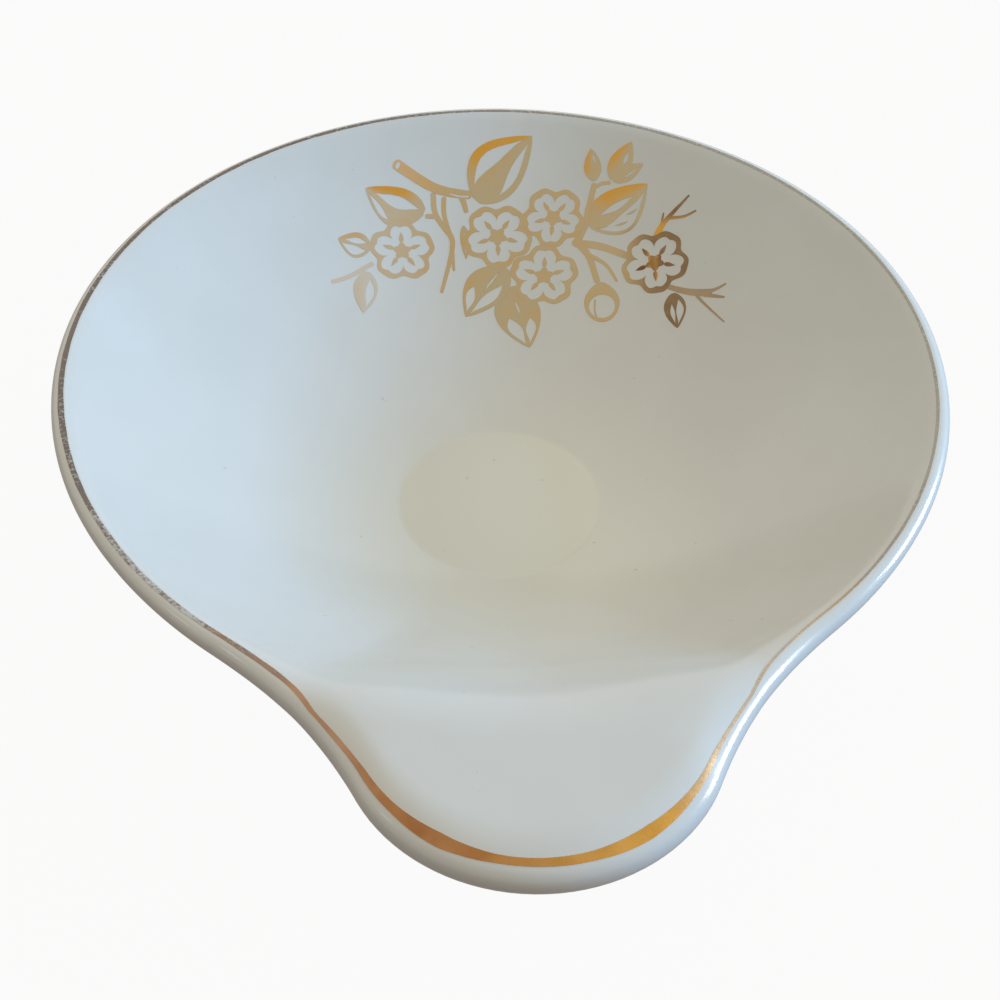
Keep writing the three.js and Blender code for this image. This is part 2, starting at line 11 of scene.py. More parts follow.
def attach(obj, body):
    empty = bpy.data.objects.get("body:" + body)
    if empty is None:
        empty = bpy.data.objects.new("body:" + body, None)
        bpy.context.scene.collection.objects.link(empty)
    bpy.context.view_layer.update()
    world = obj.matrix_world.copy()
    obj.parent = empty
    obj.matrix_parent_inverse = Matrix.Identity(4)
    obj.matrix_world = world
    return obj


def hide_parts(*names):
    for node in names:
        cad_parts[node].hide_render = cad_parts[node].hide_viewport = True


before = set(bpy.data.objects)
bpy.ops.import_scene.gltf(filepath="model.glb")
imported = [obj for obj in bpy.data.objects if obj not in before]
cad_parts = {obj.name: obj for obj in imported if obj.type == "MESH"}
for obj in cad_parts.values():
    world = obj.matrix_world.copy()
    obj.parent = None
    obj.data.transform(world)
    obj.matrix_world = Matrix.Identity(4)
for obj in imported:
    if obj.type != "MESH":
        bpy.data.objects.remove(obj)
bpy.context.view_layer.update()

scene = bpy.context.scene

# A porcelain candy dish with a drawn-out lip, a gold line round its rim and a gold blossom spray inside.
# Sizes are millimetres in the frame's own axes: +Z up, lip towards -Y, origin under the middle of the dish.
MM = 0.001

# Plan of the rim on the middle of its edge; the softness rounds off where the bowl's side arcs meet in front
OVERALL_WIDTH = 150
BOWL_SETBACK = 4.5
SIDE_RADIUS = 77.5
LIP_REACH = 98.5
NOSE_RADIUS = 25
WAIST_RADIUS = 84
FRONT_SOFTNESS = 0.08
FRONT_SOFTNESS_POWER = 8

# Heights and slopes. The lip rolls over at its edge, and its crease is set in by the most at the middle.
FOOT_HEIGHT = 4
RIM_ABOVE_FLOOR = 29
NOSE_RISE = 1.5
WALL_START_SHARE = 0.42
LIP_SLOPE = math.radians(3)
LIP_ROLL = 5
LIP_ROLL_RISE = 1.35
CREASE_SOFTNESS = 10
CREASE_INSET = 5
CREASE_SPAN = math.radians(28)
WELL_SOFTNESS = 1.3
WELL_DOME = 0.5
WELL_DOME_POWER = 1.5
WELL_GROOVE = 0.12
WELL_GROOVE_WIDTH = 0.9

# Clay thicknesses
RIM_THICKNESS = 3.6
LIP_THICKNESS = 5.2
FLOOR_THICKNESS = 4.5

# Well and foot. The hollow between foot and wall bends about a point this far out from, and above, the foot.
WELL_RADIUS = 18.5
FOOT_RADIUS = 20.5
FOOT_ROOT_WIDTH = 4
FOOT_TREAD_WIDTH = 2.4
FOOT_ROUNDING = 0.45
UNDER_DOME = 0.6
UNDER_BEND_OUT = 0.5
UNDER_BEND_UP = 1.3
OUTER_START = 24.7

# Creamy tint of the glaze with painted light, a painted glow that is paler to the right: round the disc of
# the well, and weaker round a place nearer the lip
WELL_TINT_EDGE = 1.2
WELL_TINT_SHIFT = 9
WELL_TINT_REACH = 42
WELL_TINT_AROUND = 0.75
WELL_PAINTED_LIGHT_SIDES = (-12, 15)

# Gold line: how far in from the round edge it may lie at the nose, over which turns and how softly that ends,
# how far it is turned off the edge's top, and how its width and its middle waver
GILDING_INWARD = 0.9
GILDING_NOSE_TURNS = (0.2, 0.42)
GILDING_BEND = 0.5
GILDING_TURN_OFF = 0.12
GILDING_WIDTH_WAVER = dict(counts=(5, 13, 29, 71), phase=0.7)
GILDING_WIDTH_SHARE = 0.2
GILDING_LIP_CALM = 0.5
GILDING_MIDDLE_WAVER = dict(counts=(3, 8, 19), phase=1.9)
GILDING_MIDDLE_SHARE = 0.12

# Width of the brushed gold line round the rim: degrees from +X towards +Y, then millimetres
GILDING_WIDTHS = (
    (-90, 0.8), (-86, 0.95), (-82, 1.4), (-79, 0.95), (-76, 0.55), (-72, 0.35), (-62, 0.32),
    (-50, 0.42), (0, 0.5), (90, 0.6), (150, 0.8), (180, 0.9), (225, 0.75), (240, 0.8), (248, 0.5),
    (254, 0.6), (258, 0.9), (262, 1.4), (266, 0.85), (270, 0.8),
)

# Gold films: how far they stand above the glaze and reach into it, and the seam round a motif in front
FILM_RAISE = 0.05
FILM_SINK = 0.06
SEAM = 0.015

# The spray is drawn flat, then laid on the back wall as on a cone of this slope
SPRAY_INSET = 20.2
SPRAY_SLOPE = math.radians(34)

# Steps of the surfaces
RIM_SEGMENTS = 320
RIM_SAMPLES = 20
OUTER_ROWS = 56
EDGE_ROWS = 24
INNER_ROWS = 80
UNDER_ROWS = 9
UNDER_START_SHARE = 0.08
FOOT_SEGMENTS = 160
GILDING_SEGMENTS = 960
GILDING_ROWS = 9
GILDING_UNDER_ROWS = 5
FILM_GRID = 0.8
FILM_JOIN = 1e-5
PROBE_STEP = 1e-3
SMOOTH_ANGLE = math.radians(40)

# Sizes that follow from the ones above
BOWL_RADIUS = (OVERALL_WIDTH - RIM_THICKNESS) / 2
BACK_REACH = BOWL_SETBACK + BOWL_RADIUS
FOOT_Y = (LIP_REACH + LIP_THICKNESS / 2 - BACK_REACH - RIM_THICKNESS / 2) / 2
FLOOR_Z = FOOT_HEIGHT + FLOOR_THICKNESS
FLOOR_MIDDLE_Z = FOOT_HEIGHT + FLOOR_THICKNESS / 2
WALL_RISE = RIM_ABOVE_FLOOR + FLOOR_THICKNESS / 2
SPRAY_APEX = (BACK_REACH - SPRAY_INSET) / math.cos(SPRAY_SLOPE)
QUARTER = math.pi / 2

# Viewing angle and framing
CAMERA_TARGET = Vector((-2.08, FOOT_Y - 28.46, FLOOR_Z + 29)) * MM
CAMERA_DISTANCE = 290.7 * MM
CAMERA_ELEVATION = math.radians(45.22)
CAMERA_YAW = math.radians(4.01)
CAMERA_ROLL = math.radians(1.04)
CAMERA_LENS = 66.68
CAMERA_NEAR = 10 * MM

# Light of the room: it is brightest on one side, and dim where the cosine to that side is below a limit
ROOM_BRIGHT_SIDE = (0.32, 0.38, 0.87)
ROOM_DIM_LIMIT = -0.4
ROOM_DIM = (0.03, 0.05, 0.075, 1)
ROOM_BRIGHT = (0.985, 0.91, 0.79, 1)

# Floor, and how much of plain white replaces floor and room where the camera or a glossy surface sees them
FLOOR_HALF = 3
FLOOR_COLOUR = (0.3, 0.21, 0.16, 1)
FLOOR_ROUGHNESS = 0.9
FLOOR_WHITE = dict(seen=0.95, mirrored=0.3)
ROOM_WHITE = dict(seen=1.0, mirrored=1.0)
WHITE = (1, 1, 1, 1)

# Lamps: directions in degrees, azimuth from +X towards +Y, sizes in metres, and watts
LAMP_DISTANCE = 1.0
LAMPS = {
    "right_window": dict(
        azimuth=4, elevation=19, size=(0.7, 0.28), power=11.0, tint=(0.23, 0.54, 1.0), mirrored=False,
    ),
    "right_gleam": dict(
        azimuth=10, elevation=14, size=(0.4, 0.4), power=6.0, tint=(1.0, 0.98, 0.95), diffuse=False,
    ),
    "left_window": dict(azimuth=188, elevation=34, size=(0.1, 0.16), power=0.2, tint=(0.75, 0.88, 1.0)),
}


# Surface of the dish

def smoothstep(value, low, high):
    share = np.clip((value - low) / (high - low), 0, 1)
    return share * share * (3 - 2 * share)


def lerp(a, b, share):
    return a + (b - a) * share


def smooth_minimum(a, b, softness):
    softness = np.maximum(softness, 1e-9)
    near = np.maximum(softness - np.abs(a - b), 0) / softness
    return np.minimum(a, b) - near ** 2 * softness / 4


def outer_tangent_centre(centre_a, radius_a, centre_b, radius_b, radius):
    """Centre of the circle that touches two others from outside, to the left of the way from A to B."""
    reach_a = radius_a + radius
    reach_b = radius_b + radius
    along = centre_b - centre_a
    span = np.linalg.norm(along)
    along = along / span
    share = (reach_a ** 2 - reach_b ** 2 + span ** 2) / (2 * span)
    aside = math.sqrt(reach_a ** 2 - share ** 2)
    return centre_a + along * share + np.array([-along[1], along[0]]) * aside


SIDE_CENTRE = np.array([BOWL_RADIUS - SIDE_RADIUS, BOWL_SETBACK])
NOSE_CENTRE = np.array([0, NOSE_RADIUS - LIP_REACH])
BACK_CENTRE = np.array([0, BOWL_SETBACK])
WAIST_CENTRE = outer_tangent_centre(SIDE_CENTRE, SIDE_RADIUS, NOSE_CENTRE, NOSE_RADIUS, WAIST_RADIUS)
SIDE_JOIN = SIDE_CENTRE + (WAIST_CENTRE - SIDE_CENTRE) * SIDE_RADIUS / (SIDE_RADIUS + WAIST_RADIUS)
NOSE_JOIN = NOSE_CENTRE + (WAIST_CENTRE - NOSE_CENTRE) * NOSE_RADIUS / (NOSE_RADIUS + WAIST_RADIUS)


def ray_to_circle(ray, centre, radius):
    """Near and far distances along rays from the foot's centre to a circle."""
    middle = ray @ centre
    half = np.sqrt(np.maximum(middle ** 2 - centre @ centre + radius ** 2, 0))
    return middle - half, middle + half


def right_ray(angle):
    """The plan is the same on both sides, so a ray to the left is measured on the right."""
    softening = FRONT_SOFTNESS * np.minimum(np.sin(angle), 0) ** FRONT_SOFTNESS_POWER
    across = np.sqrt(np.cos(angle) ** 2 + softening ** 2)
    ray = np.stack([across, np.sin(angle)], -1)
    return unit(ray)


def bowl_reach(angle):
    """Reach of the bowl as it would be without its lip."""
    ray = right_ray(angle)
    side = ray_to_circle(ray, SIDE_CENTRE, SIDE_RADIUS)[1]
    back = ray_to_circle(ray, BACK_CENTRE, BOWL_RADIUS)[1]
    return np.where(side * ray[..., 1] <= BOWL_SETBACK, side, back)


def rim_reach(angle):
    ray = np.stack([np.abs(np.cos(angle)), np.sin(angle)], -1)
    turn = np.arctan2(ray[..., 1], ray[..., 0])
    nose = ray_to_circle(ray, NOSE_CENTRE, NOSE_RADIUS)[1]
    waist = ray_to_circle(ray, WAIST_CENTRE, WAIST_RADIUS)[0]
    front = np.where(turn < math.atan2(NOSE_JOIN[1], NOSE_JOIN[0]), nose, waist)
    return np.where(turn < math.atan2(SIDE_JOIN[1], SIDE_JOIN[0]), front, bowl_reach(angle))


def lip_share(angle):
    """0 on the bowl, rising to 1 at the nose of the lip."""
    return smoothstep(-rim_reach(angle) * np.sin(angle), WELL_RADIUS * 2, LIP_REACH)


def wall_reach(angle):
    """Reach of the bowl's wall, set in at the front for a flatter crease."""
    front = smoothstep(-np.sin(angle), math.cos(CREASE_SPAN), 1)
    return bowl_reach(angle) - CREASE_INSET * front


def clay_middle(angle, radius):
    """Middle of the clay: flat floor, bowl wall, then the flatter lip past a soft crease."""
    rim = rim_reach(angle)
    bowl = wall_reach(angle)
    past_well = -smooth_minimum(WELL_RADIUS - radius, 0, WELL_SOFTNESS)
    climb = past_well / (bowl - WELL_RADIUS)
    wall = WALL_RISE * (WALL_START_SHARE * climb + (1 - WALL_START_SHARE) * climb ** 2)
    share = lip_share(angle)
    away = rim - radius
    roll = 1 - np.maximum(1 - away / LIP_ROLL, 0) ** 2
    lip = WALL_RISE + (NOSE_RISE + LIP_ROLL_RISE * roll) * share - math.tan(LIP_SLOPE) * away
    height = smooth_minimum(wall, lip, CREASE_SOFTNESS * share)
    height = height + WELL_DOME * np.maximum(1 - (radius / WELL_RADIUS) ** 2, 0) ** WELL_DOME_POWER
    height = height - WELL_GROOVE * np.exp(-((radius - WELL_RADIUS) / WELL_GROOVE_WIDTH) ** 2)
    x = radius * np.cos(angle)
    y = FOOT_Y + radius * np.sin(angle)
    return np.stack([x, y, FLOOR_MIDDLE_Z + height], -1)


def edge_thickness(angle):
    return lerp(RIM_THICKNESS, LIP_THICKNESS, lip_share(angle))


def clay_thickness(angle, radius):
    share = np.maximum(radius - WELL_RADIUS, 0) / (rim_reach(angle) - WELL_RADIUS)
    return lerp(FLOOR_THICKNESS, edge_thickness(angle), share)


def unit(vectors):
    return vectors / np.linalg.norm(vectors, axis=-1, keepdims=True)


def wall_directions(angle, radius):
    """Up out of the clay, and outwards along it, square to the rim."""
    share = radius / rim_reach(angle)
    left = clay_middle(angle + PROBE_STEP, share * rim_reach(angle + PROBE_STEP))
    right = clay_middle(angle - PROBE_STEP, share * rim_reach(angle - PROBE_STEP))
    around = unit(left - right)
    outer = clay_middle(angle, radius + PROBE_STEP) - clay_middle(angle, radius - PROBE_STEP)
    up = unit(np.cross(outer, around))
    return up, np.cross(around, up)


def wall_point(angle, radius, side, beyond=0):
    """Point above (side 1) or below (side -1) the middle of the clay, square to it."""
    up, _ = wall_directions(angle, radius)
    distance = side * (clay_thickness(angle, radius) / 2 + beyond)
    return clay_middle(angle, radius) + up * distance[..., None]


def edge_point(angle, turn, beyond=0):
    """Point on the round edge of the rim; turn runs from -90 degrees outside to 90 degrees inside."""
    rim = rim_reach(angle)
    up, out = wall_directions(angle, rim)
    reach = edge_thickness(angle) / 2 + beyond
    outwards = out * (reach * np.cos(turn))[..., None]
    upwards = up * (reach * np.sin(turn))[..., None]
    return clay_middle(angle, rim) + outwards + upwards


def rim_angles(count):
    """Directions of evenly spaced points round the rim, from the nose round the right side."""
    dense = np.linspace(-QUARTER, 3 * QUARTER, RIM_SAMPLES * count + 1)
    reach = rim_reach(dense)
    steps = np.hypot(np.diff(reach * np.cos(dense)), np.diff(reach * np.sin(dense)))
    along = np.concatenate([[0], np.cumsum(steps)])
    return np.interp(np.linspace(0, along[-1], count, endpoint=False), along, dense)


# Mesh making

def added(name, data):
    thing = bpy.data.objects.new(name, data)
    scene.collection.objects.link(thing)
    return thing


def mesh_object(name, points, faces):
    mesh = bpy.data.meshes.new(name)
    mesh.from_pydata((np.asarray(points) * MM).tolist(), [], faces)
    mesh.shade_smooth()
    mesh.set_sharp_from_angle(angle=SMOOTH_ANGLE)
    mesh.update()
    return added(name, mesh)


def ring_faces(rows, columns, closed):
    """Quads between rings of points; a closed loft joins its last ring to its first."""
    faces = []
    for row in range(rows if closed else rows - 1):
        low = row * columns
        high = (row + 1) % rows * columns
        for column in range(columns):
            following = (column + 1) % columns
            faces.append((low + column, low + following, high + following, high + column))
    return faces


def lofted_solid(name, first_pole, rings, last_pole):
    """A closed skin through rings, from one pole to the other."""
    rows, columns = len(rings), len(rings[0])
    points = np.concatenate([*rings, [first_pole, last_pole]])
    faces = ring_faces(rows, columns, False)
    first, last = rows * columns, rows * columns + 1
    top = (rows - 1) * columns
    for column in range(columns):
        following = (column + 1) % columns
        faces.append((following, column, first))
        faces.append((top + column, top + following, last))
    return mesh_object(name, points, faces)


def lofted_loop(name, rings):
    """A closed tube whose section runs through the rings and back to the first."""
    return mesh_object(name, np.concatenate(rings), ring_faces(len(rings), len(rings[0]), True))


def finished(piece, node, material):
    piece.data.materials.append(material)
    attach(piece, "root")
    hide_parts(node)


# Body, foot and rim line

def full_circle(count):
    return np.linspace(0, 2 * math.pi, count, endpoint=False)


def circle_ring(angle, radius, z):
    return np.stack([radius * np.cos(angle), FOOT_Y + radius * np.sin(angle), np.full_like(angle, z)], -1)


def bezier(start, control, end, share):
    return start * (1 - share) ** 2 + control * 2 * share * (1 - share) + end * share ** 2


def under_rings(angle):
    """Slightly domed base inside the foot, then the hollow curve from the foot out to the wall."""
    foot_edge = FOOT_RADIUS + FOOT_ROOT_WIDTH / 2
    inner_edge = FOOT_RADIUS - FOOT_ROOT_WIDTH / 2
    rings = []
    for share in np.linspace(UNDER_START_SHARE, 1, UNDER_ROWS):
        rings.append(circle_ring(angle, share * inner_edge, FOOT_HEIGHT + UNDER_DOME * (1 - share ** 2)))
    start = circle_ring(angle, foot_edge, FOOT_HEIGHT)
    control = circle_ring(angle, foot_edge + UNDER_BEND_OUT, FOOT_HEIGHT + UNDER_BEND_UP)
    end = wall_point(angle, np.full_like(angle, OUTER_START), -1)
    rings.extend(bezier(start, control, end, share) for share in np.linspace(0, 1, UNDER_ROWS))
    return rings


def make_body():
    angle = rim_angles(RIM_SEGMENTS)
    rim = rim_reach(angle)
    rings = under_rings(angle)
    for share in np.linspace(0, 1, OUTER_ROWS)[1:-1]:
        rings.append(wall_point(angle, lerp(OUTER_START, rim, share), -1))
    for turn in np.linspace(-QUARTER, QUARTER, EDGE_ROWS):
        rings.append(edge_point(angle, np.full_like(angle, turn)))
    for share in np.linspace(0, 1, INNER_ROWS)[1:-1]:
        rings.append(wall_point(angle, rim * (1 - share), 1))
    under_pole = (0, FOOT_Y, FOOT_HEIGHT + UNDER_DOME)
    floor_pole = (0, FOOT_Y, FLOOR_Z + WELL_DOME)
    return lofted_solid("dish_porcelain", under_pole, rings, floor_pole)


def rounded(corner, before, after, steps=6):
    """Points of a rounded corner of the foot's profile."""
    start = corner + unit(before - corner) * FOOT_ROUNDING
    end = corner + unit(after - corner) * FOOT_ROUNDING
    return [bezier(start, corner, end, share) for share in np.linspace(0, 1, steps)]


def make_foot():
    root, tread = FOOT_ROOT_WIDTH / 2, FOOT_TREAD_WIDTH / 2 + FOOT_ROUNDING
    inner_root, inner, outer, outer_root = np.array([
        (FOOT_RADIUS - root, FOOT_HEIGHT), (FOOT_RADIUS - tread, 0),
        (FOOT_RADIUS + tread, 0), (FOOT_RADIUS + root, FOOT_HEIGHT),
    ])
    tread_line = rounded(inner, inner_root, outer) + rounded(outer, inner, outer_root)
    profile = [inner_root, *tread_line, outer_root]
    angle = full_circle(FOOT_SEGMENTS)
    return lofted_loop("foot_clay", [circle_ring(angle, radius, z) for radius, z in profile])


def waver(angle, counts, phase):
    """A small steady unevenness round the rim, between about -1 and 1."""
    return sum(np.sin(count * angle + phase * count) for count in counts) / len(counts)


def rim_point(angle, across, beyond):
    """Point on the rim, so far outwards from where its round edge starts, or inwards if negative."""
    turn = QUARTER - np.maximum(across, 0) * 2 / edge_thickness(angle)
    rim = rim_reach(angle)
    drift = (rim_reach(angle + PROBE_STEP) - rim_reach(angle - PROBE_STEP)) / (2 * PROBE_STEP)
    inwards = np.minimum(across, 0) * np.hypot(1, drift / rim)
    past_edge = wall_point(angle, rim + inwards, 1, beyond)
    return np.where((across > 0)[..., None], edge_point(angle, turn, beyond), past_edge)


def make_rim_line():
    """The brushed gold line, whose underside lies in the glaze."""
    angle = rim_angles(GILDING_SEGMENTS)
    lip = lip_share(angle)
    from_nose = angle + QUARTER - 2 * math.pi * np.round((angle + QUARTER) / (2 * math.pi))
    _, out = wall_directions(angle, rim_reach(angle))
    width = np.interp(np.degrees(angle), *np.transpose(GILDING_WIDTHS))
    uneven = waver(angle, **GILDING_WIDTH_WAVER) * (1 - GILDING_LIP_CALM * lip)
    half = width / 2 * (1 + GILDING_WIDTH_SHARE * uneven)
    turn_off = GILDING_TURN_OFF * (1 + np.cos(angle))
    top = (np.arcsin(out[..., 2]) - turn_off) * edge_thickness(angle) / 2
    inward = GILDING_INWARD * (1 - smoothstep(np.abs(from_nose), *GILDING_NOSE_TURNS))
    middle = -smooth_minimum(-top, inward, GILDING_BEND)
    middle = middle + GILDING_MIDDLE_SHARE * half * waver(angle, **GILDING_MIDDLE_WAVER)
    over = [rim_point(angle, middle - half * share, FILM_RAISE) for share in np.linspace(-1, 1, GILDING_ROWS)]
    shares = np.linspace(1, -1, GILDING_UNDER_ROWS)
    under = [rim_point(angle, middle - half * share, -FILM_SINK) for share in shares]
    return lofted_loop("rim_gold_line", over + under)


# Flat drawing of the spray: x runs round the wall, y up the wall

# Blossoms: centre, width and turn in degrees, then the width of their border. Sizes of petals and hearts are
# shares of a blossom's radius, and the petals' sway and ripple are a count round the blossom and a share.
Blossom = namedtuple("Blossom", "at across turn")
BLOSSOMS = {
    "centre": Blossom((2.5, 0), 12.2, 54),
    "lower": Blossom((11.3, -9), 12, 13),
    "upper": Blossom((13.7, 3.4), 11, 46),
    "left": Blossom((-16.5, -3), 11.4, 20),
    "right": Blossom((33.3, -8.3), 11.8, 54),
}
BLOSSOM_BORDER = 0.9
PETALS = 5
PETAL_NOTCH = 0.56
PETAL_REACH = 1.0
PETAL_FLAT = 0.94
PETAL_FULLNESS = 0.6
PETAL_TIP_DENT = 0.04
PETAL_DENT_WIDTH = 0.1
PETAL_CORNER_SOFTNESS = 0.05
PETAL_SWAY = (2, 0.018)
PETAL_RIPPLE = (7, 0.014)
BORDER_EDGE = (0.93, 0.08, 0.03)
HEART_RADIUS = 0.27
HEART_CORNERS = 0.05
STAMEN_RUN = (0.3, 0.7)
STAMEN_HALF_WIDTH = 0.075
STAMEN_SHAPE = 0.7

# Leaves: stalk end, tip, width, sideways bow of the rib, side on which the gold lies deepest, pale slots,
# gold strokes in them, and how thin the gold is. A slot gives its distance from the rib at both ends, its run
# along the leaf and its half width. Distance and half width are shares of the leaf's half width.
Leaf = namedtuple("Leaf", "base tip width bow deep slots strokes thin", defaults=((), 0.0))
LEAVES = {
    "top": Leaf((-1.6, 7.4), (10.2, 20), 11.2, 1.2, 1, [
        ((0.5, 0.3), (0.14, 0.92), 0.27), ((-0.72, -0.42), (0.24, 0.95), 0.19),
    ]),
    "upper_left": Leaf((-11.6, 5.2), (-23.4, 9.6), 8.4, 1.2, -1, [
        ((-0.24, -0.28), (0.1, 0.84), 0.31), ((0.74, 0.34), (0.5, 0.94), 0.24),
    ]),
    "far_left": Leaf((-22.6, -2.6), (-29.2, -1.1), 5.4, 0.3, -1, [
        ((0.42, 0.42), (0.12, 0.9), 0.38), ((-0.42, -0.3), (0.14, 0.8), 0.24),
    ]),
    "lower_left": Leaf((-23.6, -7.6), (-24.7, -17), 4.8, 0, -1, [
        ((0.4, 0.4), (0.16, 0.86), 0.38),
    ], thin=0.35),
    "right": Leaf((20.4, 1.1), (32.6, 8.1), 9.6, -1.1, 1, [
        ((0.26, 0.18), (0.22, 0.76), 0.15), ((-0.62, -0.42), (0.08, 0.94), 0.34),
    ], strokes=[
        ((-0.5, -0.62), (0.3, 0.5), 0.05), ((-0.34, -0.56), (0.52, 0.7), 0.05),
    ]),
    "bottom_left": Leaf((4, -6.6), (-4.5, -17.8), 8.4, -0.6, -1, [
        ((0.56, 0.36), (0.26, 0.92), 0.28), ((-0.5, -0.36), (0.52, 0.92), 0.32),
        ((-0.08, 0.04), (0.1, 0.5), 0.05),
    ]),
    "bottom": Leaf((4.6, -10.8), (7.7, -25.6), 9, -0.2, 1, [
        ((-0.42, -0.34), (0.48, 0.94), 0.38), ((0.5, 0.46), (0.54, 0.93), 0.32),
        ((0.04, 0.1), (0.22, 0.46), 0.05),
    ]),
    "right_lower": Leaf((36.6, -15.4), (37.1, -23.4), 4.4, 0, -1, [
        ((0.46, 0.4), (0.2, 0.9), 0.36), ((-0.26, -0.28), (0.3, 0.86), 0.22),
    ]),
    "sliver": Leaf((-4.2, 2.6), (-3.9, -4.8), 2, 0.2, -1, [((0, 0), (0.2, 0.84), 0.4)]),
}
LEAF_FULLNESS = 0.85
LEAF_SHOULDER = 0.8
LEAF_STALK = 0.02

# Buds: petals made as leaves are, and a round bud with a border, a gold cap and a gold line
POINTED_BUD = Leaf((22.1, 10), (21.8, 16.6), 3.4, 0, 1, [((-0.4, -0.2), (0.5, 0.88), 0.16)])
TULIP_BUD = Leaf((25.5, 9.8), (29.9, 16.8), 4.6, 0, 1, [((-0.3, -0.24), (0.44, 0.78), 0.2)])
TULIP_SIDE = Leaf((25.8, 9.6), (32, 12.2), 3.2, 0, 1, [((-0.3, -0.2), (0.3, 0.9), 0.16)])
ROUND_BUD = dict(at=(22.4, -15.8), width=7, height=9, border=0.9, cap=0.62)
ROUND_BUD_NARROWING = 0.3
ROUND_BUD_LINE = ((21.1, -15.2), (20.9, -17.4), (21.3, -19.6), 0.35, 0.3)

# The sawn end of the main branch, and a pale furrow in it
BRANCH_END = dict(at=(-16.75, 14.5), width=0.75, height=1.5, turn=-28)
BRANCH_FURROW = ((-6.6, 9.1), (-4.8, 8.6), (-3, 8.5), 0.3, 0.45)

# Branches are made of runs: three places that a run passes, and its width at both ends. The length of a run's
# rounded ends is a share of its half width.
RUN_CAP_SHARE = 0.6
RUN_CAP_STEPS = 9
RUNS = {
    "branch_main": [
        ((-17, 14.7), (-9.5, 10.2), (-2.8, 8.8), 2.2, 1.7),
        ((-4.6, 9), (-3.9, 7.2), (-3.5, 5.4), 1.2, 0.9),
    ],
    "branch_hanging": [
        ((-9.9, 9), (-9.6, 4.9), (-7.2, 0.9), 1, 1.1),
        ((-7.2, 1.2), (-6.5, -2.2), (-9, -12), 1.2, 0.7),
        ((-7.8, 8.2), (-7.9, 4.9), (-7, 0.8), 0.9, 0.9),
        ((-6.6, -2), (-6.5, -4.6), (-6.4, -7.2), 0.9, 0.5),
        ((-9.2, 4.4), (-10.3, 4.4), (-11.4, 4.4), 1, 1),
    ],
    "branch_right": [
        ((22.1, 9.4), (21.4, 6.8), (20.6, 4), 1, 1.2),
        ((20.7, 4.6), (20, 1.4), (17.8, -2.6), 1.2, 1.5),
        ((21.9, 8.6), (23.6, 9.4), (25.2, 9.4), 0.7, 0.7),
        ((18, -2.4), (22.7, -3.5), (28, -6.2), 1.6, 1.4),
        ((18.6, -2.8), (20.4, -5.6), (21.7, -11), 1.4, 1.2),
        ((20.2, -5), (23.6, -7.6), (25.6, -11.4), 0.9, 0.5),
    ],
    "twig_lower_left": [((-30.6, -10.4), (-27, -8.9), (-22.6, -6), 0.8, 1)],
    "twig_right_top": [
        ((33.5, -4), (35.4, -0.4), (40.6, 4.3), 1.7, 0.35),
        ((36.4, 0.5), (39.4, 0.3), (41.8, 1), 0.7, 0.35),
        ((35, -0.8), (35.2, 0.5), (35.5, 1.7), 0.6, 0.25),
    ],
    "twig_right_low": [
        ((34.6, -13.4), (39.3, -15.6), (43.8, -16.7), 0.9, 1.7),
        ((42.8, -16.3), (44.8, -16.2), (47, -15.4), 1, 0.35),
        ((42.8, -16.9), (44.8, -17.6), (46.6, -18.2), 1, 0.4),
        ((40.6, -15.6), (42, -18), (46.4, -23.6), 0.8, 0.3),
    ],
}


def blossom_loop(blossom, angle, radius):
    """Points at a radius round a blossom's centre, with its turn."""
    facing = angle + math.radians(blossom.turn)
    return np.array(blossom.at) + np.stack([radius * np.cos(facing), radius * np.sin(facing)], -1)


def blossom_outline(blossom, grow=0, steps=26):
    """A ring of lobes: mean radius, swing of each lobe and the dent in its middle."""
    mean, swing, dent = BORDER_EDGE
    size = blossom.across / 2 + BLOSSOM_BORDER + grow
    angle = full_circle(PETALS * steps)
    radius = size * (mean + swing * np.cos(PETALS * angle) - dent * np.cos(2 * PETALS * angle))
    return blossom_loop(blossom, angle, radius)


def blossom_petals(blossom, steps=36):
    """Broad petals with nearly straight, slightly dented tips and narrow notches between them."""
    angle = full_circle(PETALS * steps)
    part = 2 * math.pi / PETALS
    aside = (angle + part / 2) % part - part / 2
    swell = np.abs(np.cos(PETALS * angle / 2)) ** PETAL_FULLNESS
    lobe = lerp(PETAL_NOTCH, PETAL_REACH, swell)
    tip = PETAL_FLAT / np.cos(aside) - PETAL_TIP_DENT * np.exp(-(aside / PETAL_DENT_WIDTH) ** 2)
    sway = PETAL_SWAY[1] * np.sin(PETAL_SWAY[0] * angle + blossom.turn)
    ripple = PETAL_RIPPLE[1] * np.sin(PETAL_RIPPLE[0] * angle + blossom.at[0])
    radius = blossom.across / 2 * smooth_minimum(lobe, tip, PETAL_CORNER_SOFTNESS) * (1 + sway + ripple)
    return blossom_loop(blossom, angle, radius)


def blossom_hearts(blossom, steps=40):
    """The round heart and a drop-shaped stamen on each petal."""
    size = blossom.across / 2
    circle = full_circle(steps)
    radius = size * (HEART_RADIUS + HEART_CORNERS * np.cos(PETALS * circle))
    loops = [blossom_loop(blossom, circle, radius)]
    along = np.linspace(0, 1, steps // 4)
    half = STAMEN_HALF_WIDTH * np.sin(math.pi * along ** STAMEN_SHAPE)
    reach = lerp(*STAMEN_RUN, along)
    drop = size * np.concatenate([np.stack([reach, half], -1), np.stack([reach, -half], -1)[-2:0:-1]])
    for petal in range(PETALS):
        facing = math.radians(blossom.turn) + 2 * math.pi * petal / PETALS
        turned = np.array([[math.cos(facing), math.sin(facing)], [-math.sin(facing), math.cos(facing)]])
        loops.append(np.array(blossom.at) + drop @ turned)
    return loops


def leaf_axes(leaf):
    base, tip = np.array(leaf.base, float), np.array(leaf.tip, float)
    length = np.linalg.norm(tip - base)
    along = (tip - base) / length
    return base, along, np.array([-along[1], along[0]]), length


